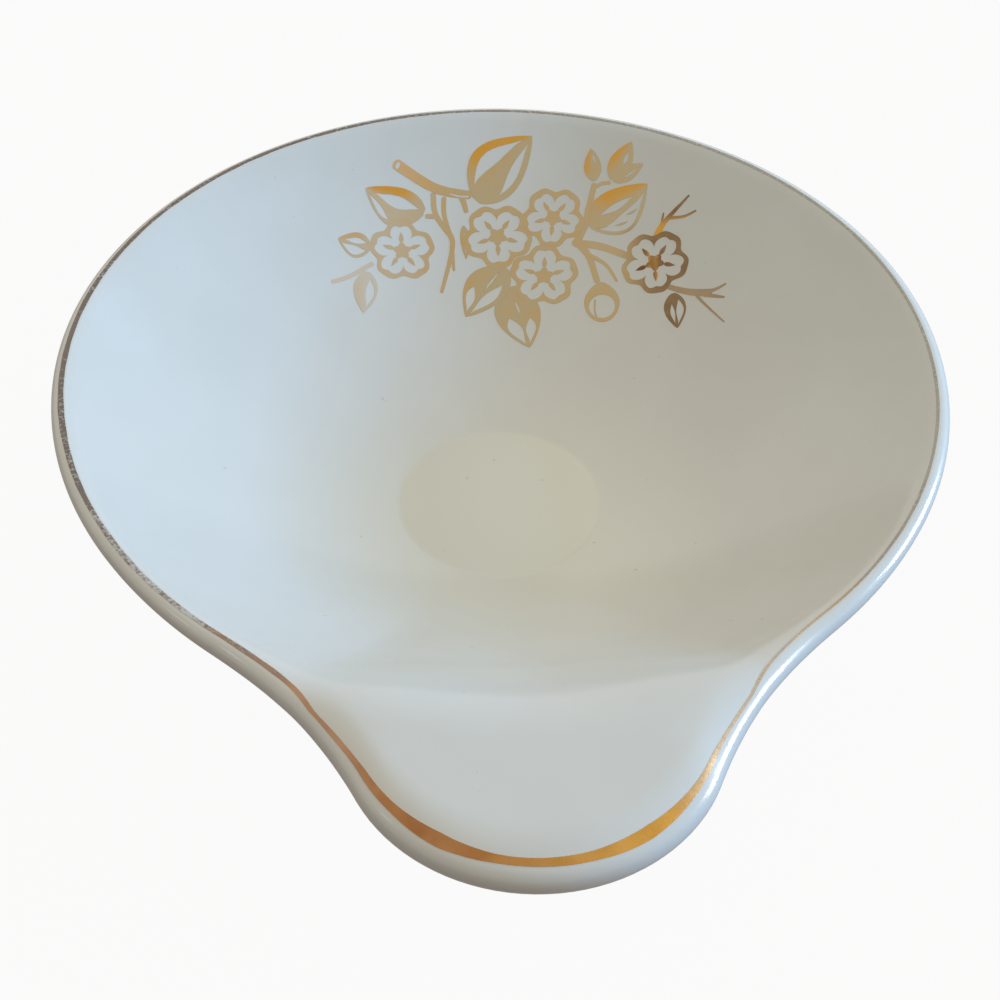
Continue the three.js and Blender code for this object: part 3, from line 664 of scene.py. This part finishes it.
def leaf_half(leaf, place, grow=0):
    swell = np.sin(math.pi * np.clip(place, 0, 1) ** LEAF_SHOULDER)
    return (leaf.width / 2 + grow) * np.maximum(swell, 0) ** LEAF_FULLNESS


def leaf_line(leaf, side, run, swell=0, grow=0, steps=24):
    """A line along a leaf; side gives its share of the half width, positive to the left of the rib."""
    base, along, left, length = leaf_axes(leaf)
    share = np.linspace(0, 1, steps)
    place = lerp(*run, share)
    shares = lerp(*side, share) + swell * np.sin(math.pi * share)
    offset = leaf.bow * np.sin(math.pi * place) + leaf_half(leaf, place, grow) * shares
    forward = place * (length + 2 * grow) - grow
    return base + along * forward[:, None] + left * offset[:, None]


def leaf_outline(leaf, grow=0):
    left = leaf_line(leaf, (1, 1), (LEAF_STALK, 1), grow=grow)
    right = leaf_line(leaf, (-1, -1), (LEAF_STALK, 1), grow=grow)
    return np.concatenate([left, right[-2::-1]])


def leaf_slot(leaf, side, run, swell):
    left = leaf_line(leaf, side, run, swell)
    right = leaf_line(leaf, side, run, -swell)
    return np.concatenate([right, left[-2:0:-1]])


def oval(at, width, height, turn=0, steps=48):
    angle = full_circle(steps)
    x, y = width / 2 * np.cos(angle), height / 2 * np.sin(angle)
    cos, sin = math.cos(math.radians(turn)), math.sin(math.radians(turn))
    return np.array(at) + np.stack([x * cos - y * sin, x * sin + y * cos], -1)


def round_bud_outline(bud, grow=0):
    """An oval that narrows towards the stalk at its top."""
    loop = oval(bud["at"], bud["width"] + 2 * grow, bud["height"] + 2 * grow)
    upward = np.maximum((loop[:, 1] - bud["at"][1]) / (bud["height"] / 2), 0)
    loop[:, 0] += (bud["at"][0] - loop[:, 0]) * ROUND_BUD_NARROWING * upward ** 2
    return loop


def round_bud_window(bud):
    height = bud["height"] * (1 - bud["cap"] / 2) - bud["border"]
    dropped = bud["at"][1] - bud["height"] / 2 + bud["border"] + height / 2
    return oval((bud["at"][0], dropped), bud["width"] - 2 * bud["border"], height)


def spline(points, share):
    """A Catmull-Rom line through three points, with its tangent."""
    first, middle, last = (np.array(point, float) for point in points)
    slope = (last - first) / 2
    half = np.where(share < 0.5, share * 2, share * 2 - 1)[:, None]
    early = (share < 0.5)[:, None]
    start, end = np.where(early, first, middle), np.where(early, middle, last)
    start_slope = np.where(early, (middle - first) / 2, slope)
    end_slope = np.where(early, slope, (last - middle) / 2)
    cubic = 2 * start - 2 * end + start_slope + end_slope
    square = 3 * end - 3 * start - 2 * start_slope - end_slope
    place = cubic * half ** 3 + square * half ** 2 + start_slope * half + start
    return place, unit(3 * cubic * half ** 2 + 2 * square * half + start_slope)


def run_outline(run, grow=0, steps=21):
    """A tapering ribbon along a smooth line, with rounded ends."""
    *points, start, end = run
    share = np.linspace(0, 1, steps)
    line, tangent = spline(points, share)
    aside = np.stack([-tangent[:, 1], tangent[:, 0]], -1)
    half = lerp(start, end, share) / 2 + grow
    left, right = line + aside * half[:, None], line - aside * half[:, None]
    turn = np.linspace(-QUARTER, QUARTER, RUN_CAP_STEPS)[1:-1, None]
    forward = RUN_CAP_SHARE * np.cos(turn)
    end_cap = line[-1] + half[-1] * (forward * tangent[-1] + np.sin(turn) * aside[-1])
    start_cap = line[0] - half[0] * (forward * tangent[0] + np.sin(turn) * aside[0])
    return np.concatenate([right, end_cap, left[::-1], start_cap])


# Gold films laid on the wall

def inside(points, loop):
    """Which points lie inside a closed loop."""
    x, y = points[:, 0, None], points[:, 1, None]
    x0, y0 = loop[:, 0], loop[:, 1]
    x1, y1 = np.roll(x0, -1), np.roll(y0, -1)
    crosses = (y0 > y) != (y1 > y)
    rise = np.where(y1 == y0, 1, y1 - y0)
    return (crosses & (x < x0 + (y - y0) / rise * (x1 - x0))).sum(1) % 2 == 1


def inside_any(points, loops):
    found = np.zeros(len(points), bool)
    for loop in loops:
        found |= inside(points, loop)
    return found


def flat_film(fills, holes=(), strokes=(), cutters=()):
    """Triangles of the flat area inside fills but not holes, or in strokes, and outside the cutters."""
    low = np.min([loop.min(0) for loop in fills], 0)
    high = np.max([loop.max(0) for loop in fills], 0)
    cutters = [loop for loop in cutters if (loop.max(0) > low).all() and (loop.min(0) < high).all()]
    loops = [*fills, *holes, *strokes, *cutters]
    columns, rows = (np.arange(low[axis], high[axis], FILM_GRID) for axis in (0, 1))
    grid = np.stack(np.meshgrid(columns, rows), -1).reshape(-1, 2)
    points = np.concatenate([*loops, grid[inside_any(grid, fills)]])
    edges = []
    for loop in loops:
        first = edges[-1][0] + 1 if edges else 0
        numbers = range(first, first + len(loop))
        edges.extend((number, first + (number - first + 1) % len(loop)) for number in numbers)
    corners = [Vector(point) for point in points]
    flat, _, triangles, *_ = delaunay_2d_cdt(corners, edges, [], 0, FILM_JOIN)
    flat = np.array([tuple(point) for point in flat])
    triangles = np.array(triangles)
    centres = flat[triangles].mean(1)
    kept = inside_any(centres, fills) & ~inside_any(centres, holes) | inside_any(centres, strokes)
    kept &= ~inside_any(centres, cutters)
    used, triangles = np.unique(triangles[kept], return_inverse=True)
    return flat[used], triangles.reshape(-1, 3)


def on_wall(flat, height):
    across, upward = flat[:, 0], SPRAY_APEX + flat[:, 1]
    radius = np.hypot(across, upward) * math.cos(SPRAY_SLOPE)
    angle = QUARTER - np.arctan2(across, upward) / math.cos(SPRAY_SLOPE)
    return wall_point(angle, radius, 1, height)


def boundary_edges(triangles):
    """Directed edges that belong to one triangle only."""
    edges = [(a, b) for triangle in triangles.tolist() for a, b in zip(triangle, triangle[1:] + triangle[:1])]
    known = set(edges)
    return [(a, b) for a, b in edges if (b, a) not in known]


def film_object(name, flat, triangles, tone):
    """A closed thin film on the glaze, with its tone kept as a colour on its points."""
    count = len(flat)
    points = np.concatenate([on_wall(flat, FILM_RAISE), on_wall(flat, -FILM_SINK)])
    faces = triangles.tolist()
    faces += (triangles[:, ::-1] + count).tolist()
    faces += [(b, a, a + count, b + count) for a, b in boundary_edges(triangles)]
    piece = mesh_object(name, points, faces)
    colours = np.concatenate([tone, np.ones((count, 1))], 1)
    layer = piece.data.attributes.new("tone", "FLOAT_COLOR", "POINT")
    layer.data.foreach_set("color", np.tile(colours, (2, 1)).ravel())
    return piece


# Tone of the gold: depth of its orange, a painted dark reflection in brown, and thinness of the film. Ranges
# on X and Y are places
# on the flat spray: the painted dark reflection comes in to the right and below, and the film thins to the
# left.
PLAIN_DEPTH = 0.2
DARK_REFLECTION_X = (25, 34)
DARK_REFLECTION_BELOW = (-1.5, 1.5)
THIN_LEFT = (4, 22)
THIN_MOST = 0.3

# The gold of a leaf is deepest on one side, from the rib outwards, and along its run, and less in low leaves
LEAF_DEEP_SIDE = (-0.1, 0.8)
LEAF_DEEP_RUN = (0.05, 0.5)
LEAF_DEEP_Y = (-6, 8)
LEAF_DEEP_LEAST = 0.25
LEAF_LEAST_HALF = 0.3

# Main branch: depth added towards its sawn end. Twig at the top right: brown above, and paler there.
BRANCH_DEEP_LEFT = (5, 15)
BRANCH_DEEP_MORE = 0.5
TWIG_BROWN_Y = (-1.2, 1.6)
TWIG_BROWN_PALER = 0.4

# Two bright strokes in the heart at the right, which is painted brown as a dark reflection: middle, half
# distance, half width, and strength
HEART_STROKES_X = 32.9
HEART_STROKES_APART = 0.75
HEART_STROKES_WIDTH = 0.3
HEART_STROKES_BRIGHT = 0.85


def tones(deep, dark_reflection, thin):
    return np.stack(np.broadcast_arrays(deep, dark_reflection, thin), -1)


def spray_tone(flat, deep=PLAIN_DEPTH, thin=0.0, most=1.0):
    x, y = flat[:, 0], flat[:, 1]
    dark_reflection = most * smoothstep(x, *DARK_REFLECTION_X) * smoothstep(-y, *DARK_REFLECTION_BELOW)
    return tones(deep, dark_reflection, thin + THIN_MOST * smoothstep(-x, *THIN_LEFT))


def leaf_tone(leaf, flat):
    base, along, left, length = leaf_axes(leaf)
    place = np.clip((flat - base) @ along / length, 0, 1)
    offset = (flat - base) @ left - leaf.bow * np.sin(math.pi * place)
    share = leaf.deep * offset / np.maximum(leaf_half(leaf, place), LEAF_LEAST_HALF)
    most = lerp(LEAF_DEEP_LEAST, 1, smoothstep(flat[:, 1], *LEAF_DEEP_Y))
    deep = smoothstep(share, *LEAF_DEEP_SIDE) * smoothstep(place, *LEAF_DEEP_RUN) * most
    tone = spray_tone(flat, deep, leaf.thin)
    tone[:, 2] *= 1 - deep
    return tone


def branch_main_tone(flat):
    return spray_tone(flat, PLAIN_DEPTH + BRANCH_DEEP_MORE * smoothstep(-flat[:, 0], *BRANCH_DEEP_LEFT))


def twig_top_tone(flat):
    """Bright at its foot, brown above."""
    brown = smoothstep(flat[:, 1], *TWIG_BROWN_Y)
    return tones(1 - TWIG_BROWN_PALER * brown, brown, 0)


def right_heart_tone(flat):
    """Painted brown as a dark reflection, with two bright strokes."""
    off_stroke = np.abs(flat[:, 0] - HEART_STROKES_X) - HEART_STROKES_APART
    strokes = np.exp(-(off_stroke / HEART_STROKES_WIDTH) ** 2)
    return tones(1, 1 - HEART_STROKES_BRIGHT * strokes, 0)


# Tones that differ from the plain one
RUN_TONES = {
    "branch_main": branch_main_tone,
    "twig_lower_left": partial(spray_tone, deep=0.3, thin=0.35),
    "twig_right_top": twig_top_tone,
    "twig_right_low": partial(spray_tone, deep=0.3, thin=0.1, most=0.75),
}


def leaf_motif(*leaves):
    """Leaves, or the petals of a bud, in the tone of the first."""
    return dict(
        fills=[leaf_outline(leaf) for leaf in leaves],
        holes=[leaf_slot(leaf, *slot) for leaf in leaves for slot in leaf.slots],
        strokes=[leaf_slot(leaf, *stroke) for leaf in leaves for stroke in leaf.strokes],
        covers=[leaf_outline(leaf, SEAM) for leaf in leaves], tone=partial(leaf_tone, leaves[0]),
    )


def spray_motifs():
    """Motifs, those in front first: what is filled, bare, and filled again, what hides others, and tone."""
    motifs = {}
    for name, blossom in BLOSSOMS.items():
        motifs[f"blossom_{name}_outline"] = dict(
            fills=[blossom_outline(blossom)], holes=[blossom_petals(blossom)],
            covers=[blossom_outline(blossom, SEAM)], tone=spray_tone,
        )
    bud = ROUND_BUD
    motifs["bud_round"] = dict(
        fills=[round_bud_outline(bud)], holes=[round_bud_window(bud)], strokes=[run_outline(ROUND_BUD_LINE)],
        covers=[round_bud_outline(bud, SEAM)], tone=spray_tone,
    )
    motifs["bud_pointed"] = leaf_motif(POINTED_BUD)
    motifs["bud_tulip"] = leaf_motif(TULIP_BUD, TULIP_SIDE)
    for name, runs in RUNS.items():
        motifs[name] = dict(
            fills=[run_outline(run) for run in runs], covers=[run_outline(run, SEAM) for run in runs],
            tone=RUN_TONES.get(name, spray_tone),
        )
    motifs["branch_main"]["holes"] = [oval(**BRANCH_END), run_outline(BRANCH_FURROW)]
    for name, leaf in LEAVES.items():
        motifs[f"leaf_{name}"] = leaf_motif(leaf)
    return motifs


def make_spray(material):
    front = []
    for node, motif in spray_motifs().items():
        shape = {key: motif.get(key, []) for key in ("fills", "holes", "strokes")}
        flat, triangles = flat_film(**shape, cutters=front)
        film = film_object(f"{node}_gold", flat, triangles, motif["tone"](flat))
        finished(film, node, material)
        front.extend(motif["covers"])
    for name, blossom in BLOSSOMS.items():
        flat, triangles = flat_film(blossom_hearts(blossom))
        tone = right_heart_tone(flat) if name == "right" else spray_tone(flat)
        film = film_object(f"blossom_{name}_heart_gold", flat, triangles, tone)
        finished(film, f"blossom_{name}_star", material)


# Materials: colours as a screen shows them, in pairs where a pattern runs from one to the other

GLAZE = ((210, 210, 201), (214, 214, 206))
GLAZE_SPECK = (186, 180, 166)
WELL_CREAM_AND_PAINTED_LIGHT = ((212, 209, 191), (222, 224, 212))
# Cream of the glaze with painted light: the second, paler colour is painted light on the right
CLAY = ((214, 204, 186), (226, 219, 205))
CLAY_GRAIN = (168, 152, 128)
# Gold of the rim line: each left colour is painted shade, a painted dark reflection, and each right colour is
# painted light
LIP_GOLD_SHADED_LEFT = ((164, 116, 72), (148, 98, 56))
LIP_GOLD_LIT_RIGHT = ((204, 156, 78), (190, 140, 60))
RIM_BROWN_SHADED_LEFT = ((122, 111, 101), (104, 95, 88))
RIM_BROWN_LIT_RIGHT = ((158, 153, 138), (144, 139, 126))
RIM_BARE = (196, 194, 184)
SPRAY_GOLD = ((170, 153, 118), (190, 140, 56))
# Brown of a painted dark reflection on the spray's gold
SPRAY_BROWN = ((122, 100, 72), (108, 68, 38))
SPRAY_BROWN_PATCH = (134, 107, 74)
SPRAY_BARE = (210, 202, 188)

# Wear and painted light of the gold line, as ranges on X or Y: where the bright lip turns brown and how far
# patches shift that, where painted shade on the left turns to painted light on the right, the worn stretch at
# the front left, and how bare the gold is on both flanks, which on the right flank is a painted highlight
RIM_BROWN_Y = (-56, -36)
RIM_BROWN_SHIFT = (-6, 6)
LIP_MIDDLE_X = (-12, 12)
RIM_MIDDLE_X = (-30, 30)
WORN_START_Y = (-48, -41)
WORN_END_Y = (-24, -14)
WORN_X = (-30, -40)
WORN_MOST = 0.22
# On the right flank the bare share is a painted highlight: gold washed pale by a highlight
FLANKS = (((17, 24), 0.5), ((-20, -28), 0.14))
FLANKS_Y = (-40, -50)


def mm(places):
    return [place * MM for place in places]


def colour(screen):
    """Linear colour from the three 0 to 255 values that a screen shows."""
    shares = [value / 255 for value in screen]
    linear = [share / 12.92 if share <= 0.04045 else ((share + 0.055) / 1.055) ** 2.4 for share in shares]
    return (*linear, 1)


class Nodes:
    """Short calls for making the nodes of a material or of the world."""

    def __init__(self, tree):
        self.tree = tree
        self.shader = tree.nodes.get("Principled BSDF")

    def link(self, value, socket):
        if isinstance(value, bpy.types.NodeSocket):
            self.tree.links.new(value, socket)
        else:
            socket.default_value = value

    def node(self, kind, inputs=(), **settings):
        node = self.tree.nodes.new(kind)
        for key, value in settings.items():
            setattr(node, key, value)
        for key, value in dict(inputs).items():
            self.link(value, node.inputs[key])
        return node

    def place(self):
        return self.node("ShaderNodeTexCoord").outputs["Object"]

    def axes(self, place):
        return self.node("ShaderNodeSeparateXYZ", {"Vector": place}).outputs

    def noise(self, scale, detail=3, roughness=0.5, place=None):
        inputs = {"Vector": place or self.place(), "Scale": scale, "Detail": detail, "Roughness": roughness}
        return self.node("ShaderNodeTexNoise", inputs).outputs["Fac"]

    def between(self, value, ends, to=(0, 1)):
        """Ramp of a value from one pair of numbers to another."""
        names = ("Value", "From Min", "From Max", "To Min", "To Max")
        return self.node("ShaderNodeMapRange", zip(names, (value, *ends, *to))).outputs["Result"]

    def math(self, operation, a, b):
        return self.node("ShaderNodeMath", {0: a, 1: b}, operation=operation).outputs["Value"]

    def mix(self, share, a, b):
        return self.node("ShaderNodeMix", {"Factor": share, 6: a, 7: b}, data_type="RGBA").outputs[2]

    def blend(self, share, colours):
        """Mix of a pair of screen colours."""
        return self.mix(share, *map(colour, colours))

    def bump(self, height, distance, strength):
        inputs = {"Height": height, "Distance": distance, "Strength": strength}
        self.set(Normal=self.node("ShaderNodeBump", inputs).outputs["Normal"])

    def set(self, **inputs):
        for key, value in inputs.items():
            self.link(value, self.shader.inputs[key.replace("_", " ")])

    def whiten(self, shader, white, output, seen, mirrored):
        """Give plain white a share of what the camera sees, straight or by way of something glossy."""
        path = self.node("ShaderNodeLightPath").outputs
        glossy = self.math("MAXIMUM", path["Is Glossy Ray"], path["Is Transmission Ray"])
        straight = self.math("MULTIPLY", path["Is Camera Ray"], seen)
        share = self.math("MAXIMUM", straight, self.math("MULTIPLY", glossy, mirrored))
        plain = self.node(white, {"Color": WHITE})
        mixed = self.node("ShaderNodeMixShader", {0: share, 1: shader.outputs[0], 2: plain.outputs[0]})
        self.link(mixed.outputs["Shader"], self.tree.nodes[output].inputs["Surface"])


def new_material(name):
    material = bpy.data.materials.new(name)
    material.use_nodes = True
    return material, Nodes(material.node_tree)


def well_cream_and_painted_light(nodes, glaze):
    """The floor over the hollow foot is creamier and paler than the wall, most of all to the right: cream of
    the glaze, and painted light as a painted glow.
    """
    x, y, _ = nodes.axes(nodes.place())

    def strength(centre_y, outer, inner, most):
        forward = nodes.math("SUBTRACT", y, centre_y * MM)
        square = nodes.math("ADD", nodes.math("MULTIPLY", x, x), nodes.math("MULTIPLY", forward, forward))
        return nodes.between(nodes.math("POWER", square, 0.5), mm((outer, inner)), (0, most))

    around = strength(FOOT_Y - WELL_TINT_SHIFT, WELL_TINT_REACH, WELL_RADIUS, WELL_TINT_AROUND)
    disc = strength(FOOT_Y, WELL_RADIUS + WELL_TINT_EDGE, WELL_RADIUS - WELL_TINT_EDGE, 1.0)
    # Painted light: paler and bluer towards the right
    cream_and_light = nodes.blend(nodes.between(x, mm(WELL_PAINTED_LIGHT_SIDES)), WELL_CREAM_AND_PAINTED_LIGHT)
    return nodes.mix(nodes.math("MAXIMUM", around, disc), glaze, cream_and_light)


def porcelain_material():
    """White glaze with faint clouds, a few specks and a slow ripple."""
    material, nodes = new_material("glazed_porcelain")
    cloud = nodes.between(nodes.noise(scale=38, detail=4), (0.35, 0.65))
    glaze = well_cream_and_painted_light(nodes, nodes.blend(cloud, GLAZE))
    speck = nodes.between(nodes.noise(scale=620, detail=1), (0.79, 0.82), (0, 0.5))
    nodes.set(Base_Color=nodes.mix(speck, glaze, colour(GLAZE_SPECK)))
    nodes.set(Roughness=nodes.between(nodes.noise(scale=120), (0.3, 0.7), (0.17, 0.24)))
    nodes.set(Specular_IOR_Level=0.32, Coat_Weight=0.2, Coat_Roughness=0.04)
    grain = nodes.math("MULTIPLY", nodes.noise(scale=650, detail=2), 0.06)
    ripple = nodes.math("ADD", nodes.noise(scale=70, detail=2), grain)
    nodes.bump(ripple, distance=0.25 * MM, strength=0.35)
    return material


def clay_material():
    """Dry fired clay, wiped bare."""
    material, nodes = new_material("bare_foot_clay")
    grain = nodes.noise(scale=1400, detail=4, roughness=0.6)
    tint = nodes.blend(nodes.between(nodes.noise(scale=160), (0.35, 0.65)), CLAY)
    nodes.set(Base_Color=nodes.mix(nodes.between(grain, (0.58, 0.74)), tint, colour(CLAY_GRAIN)))
    nodes.set(Roughness=nodes.between(grain, (0.3, 0.7), (0.72, 0.9)))
    nodes.bump(grain, distance=0.12 * MM, strength=0.8)
    return material


def rim_gold_material():
    """Bright on the lip, thin and rubbed brown along the sides and back, with painted shade on the left,
    painted light on the right and a painted highlight on the right flank.
    """
    material, nodes = new_material("rim_gold")
    place = nodes.place()
    x, y, _ = nodes.axes(place)
    speckle = nodes.noise(scale=1700, roughness=0.65, place=place)
    patches = nodes.noise(scale=190, place=place)
    shift = nodes.between(patches, (0.3, 0.7), mm(RIM_BROWN_SHIFT))
    rubbed = nodes.between(nodes.math("ADD", y, shift), mm(RIM_BROWN_Y))

    # Painted shade on the left and painted light on the right, by X
    def shaded_left_lit_right(patch, middle, left, right):
        return nodes.mix(nodes.between(x, mm(middle)), nodes.blend(patch, left), nodes.blend(patch, right))

    bright = shaded_left_lit_right(nodes.between(patches, (0.35, 0.68)), LIP_MIDDLE_X, LIP_GOLD_SHADED_LEFT, LIP_GOLD_LIT_RIGHT)
    brown = shaded_left_lit_right(nodes.between(patches, (0.3, 0.7)), RIM_MIDDLE_X, RIM_BROWN_SHADED_LEFT, RIM_BROWN_LIT_RIGHT)
    gold = nodes.mix(rubbed, bright, brown)
    stretch = nodes.math("SUBTRACT", nodes.between(y, mm(WORN_START_Y)), nodes.between(y, mm(WORN_END_Y)))
    wear_and_dark_reflection = nodes.math("MULTIPLY", stretch, nodes.between(x, mm(WORN_X), (0, WORN_MOST)))
    rubbing = nodes.math("ADD", speckle, nodes.math("ADD", wear_and_dark_reflection, nodes.math("MULTIPLY", patches, 0.55)))
    bare_and_painted_highlight = nodes.math("MULTIPLY", nodes.between(rubbing, (0.82, 1.1)), rubbed)
    # Bare gold on the flanks: on the right flank a painted highlight
    flanks = nodes.math("ADD", *(nodes.between(x, mm(ends), (0, most)) for ends, most in FLANKS))
    bare_and_painted_highlight = nodes.math("MAXIMUM", bare_and_painted_highlight, nodes.math("MULTIPLY", flanks, nodes.between(y, mm(FLANKS_Y))))
    nodes.set(Base_Color=nodes.mix(bare_and_painted_highlight, gold, colour(RIM_BARE)))
    nodes.set(Metallic=nodes.between(bare_and_painted_highlight, (0, 1), (0.95, 0)))
    nodes.set(Roughness=nodes.between(speckle, (0.3, 0.7), (0.2, 0.36)))
    nodes.bump(speckle, distance=0.03 * MM, strength=0.5)
    return material


def spray_gold_material():
    """Fired gold: tan to deep orange, brown as a painted dark reflection, and thin, as each point's tone
    says.
    """
    material, nodes = new_material("spray_gold")
    tone = nodes.node("ShaderNodeAttribute", attribute_name="tone").outputs["Color"]
    deep, dark_reflection, thin = nodes.node("ShaderNodeSeparateColor", {"Color": tone}).outputs
    place = nodes.place()
    patches = nodes.noise(scale=320, detail=4, place=place)
    grain = nodes.noise(scale=2600, roughness=0.6, place=place)
    shade = nodes.math("ADD", deep, nodes.between(patches, (0.3, 0.7), (-0.15, 0.15)))
    gold = nodes.blend(shade, SPRAY_GOLD)
    brown = nodes.blend(deep, SPRAY_BROWN)
    brown = nodes.mix(nodes.between(patches, (0.35, 0.65)), brown, colour(SPRAY_BROWN_PATCH))
    # Painted dark reflection: brown where the tone's second channel says
    wear_and_dark_reflection = nodes.mix(dark_reflection, gold, brown)
    rubbed = nodes.math("ADD", thin, nodes.between(grain, (0.66, 0.8), (0, 0.4)))
    nodes.set(Base_Color=nodes.mix(rubbed, wear_and_dark_reflection, colour(SPRAY_BARE)))
    nodes.set(Metallic=nodes.between(rubbed, (0, 1), (0.9, 0.1)))
    nodes.set(Roughness=nodes.between(grain, (0.3, 0.7), (0.3, 0.44)))
    nodes.bump(grain, distance=0.02 * MM, strength=0.4)
    return material


# Floor, world, lights and camera

def make_floor():
    mesh = bpy.data.meshes.new("floor")
    corners = [(x * FLOOR_HALF, y * FLOOR_HALF, 0) for x, y in ((-1, -1), (1, -1), (1, 1), (-1, 1))]
    mesh.from_pydata(corners, [], [(0, 1, 2, 3)])
    floor = added("floor", mesh)
    material, nodes = new_material("pale_floor")
    nodes.set(Base_Color=FLOOR_COLOUR, Roughness=FLOOR_ROUGHNESS)
    nodes.whiten(nodes.shader, "ShaderNodeEmission", "Material Output", **FLOOR_WHITE)
    mesh.materials.append(material)


def make_world():
    world = bpy.data.worlds.new("studio")
    scene.world = world
    world.use_nodes = True
    nodes = Nodes(world.node_tree)
    facing = nodes.node("ShaderNodeTexCoord").outputs["Generated"]
    towards = nodes.node("ShaderNodeVectorMath", {0: facing, 1: ROOM_BRIGHT_SIDE}, operation="DOT_PRODUCT")
    share = nodes.between(towards.outputs["Value"], (ROOM_DIM_LIMIT, 1))
    room = nodes.tree.nodes["Background"]
    nodes.link(nodes.mix(share, ROOM_DIM, ROOM_BRIGHT), room.inputs["Color"])
    nodes.whiten(room, "ShaderNodeBackground", "World Output", **ROOM_WHITE)


def heading(azimuth, elevation):
    level = math.cos(elevation)
    return Vector((level * math.cos(azimuth), level * math.sin(azimuth), math.sin(elevation)))


def make_window(name, azimuth, elevation, size, power, tint, diffuse=True, mirrored=True):
    """A soft window-like light that faces the dish."""
    light = bpy.data.lights.new(name, "AREA")
    light.shape = "RECTANGLE"
    light.size, light.size_y = size
    light.energy = power
    light.color = tint
    lamp = added(name, light)
    direction = heading(math.radians(azimuth), math.radians(elevation))
    lamp.location = direction * LAMP_DISTANCE
    lamp.rotation_euler = direction.to_track_quat("Z", "Y").to_euler()
    lamp.visible_diffuse, lamp.visible_glossy = diffuse, mirrored


def make_camera():
    forward = heading(QUARTER - CAMERA_YAW, -CAMERA_ELEVATION)
    level = Vector((math.cos(CAMERA_YAW), -math.sin(CAMERA_YAW), 0))
    upright = level.cross(forward)
    right = level * math.cos(CAMERA_ROLL) + upright * math.sin(CAMERA_ROLL)
    up = upright * math.cos(CAMERA_ROLL) - level * math.sin(CAMERA_ROLL)
    data = bpy.data.cameras.new("camera")
    data.lens = CAMERA_LENS
    data.sensor_fit = "HORIZONTAL"
    data.clip_start = CAMERA_NEAR
    camera = added("camera", data)
    turn = Matrix((right, up, -forward)).transposed().to_4x4()
    camera.matrix_world = Matrix.Translation(CAMERA_TARGET - forward * CAMERA_DISTANCE) @ turn
    scene.camera = camera


make_camera()
make_floor()
make_world()
for lamp_name, lamp_settings in LAMPS.items():
    make_window(lamp_name, **lamp_settings)
scene.view_settings.view_transform = "Standard"

finished(make_body(), "dish_body", porcelain_material())
finished(make_foot(), "foot_ring", clay_material())
finished(make_rim_line(), "rim_gilding", rim_gold_material())
make_spray(spray_gold_material())
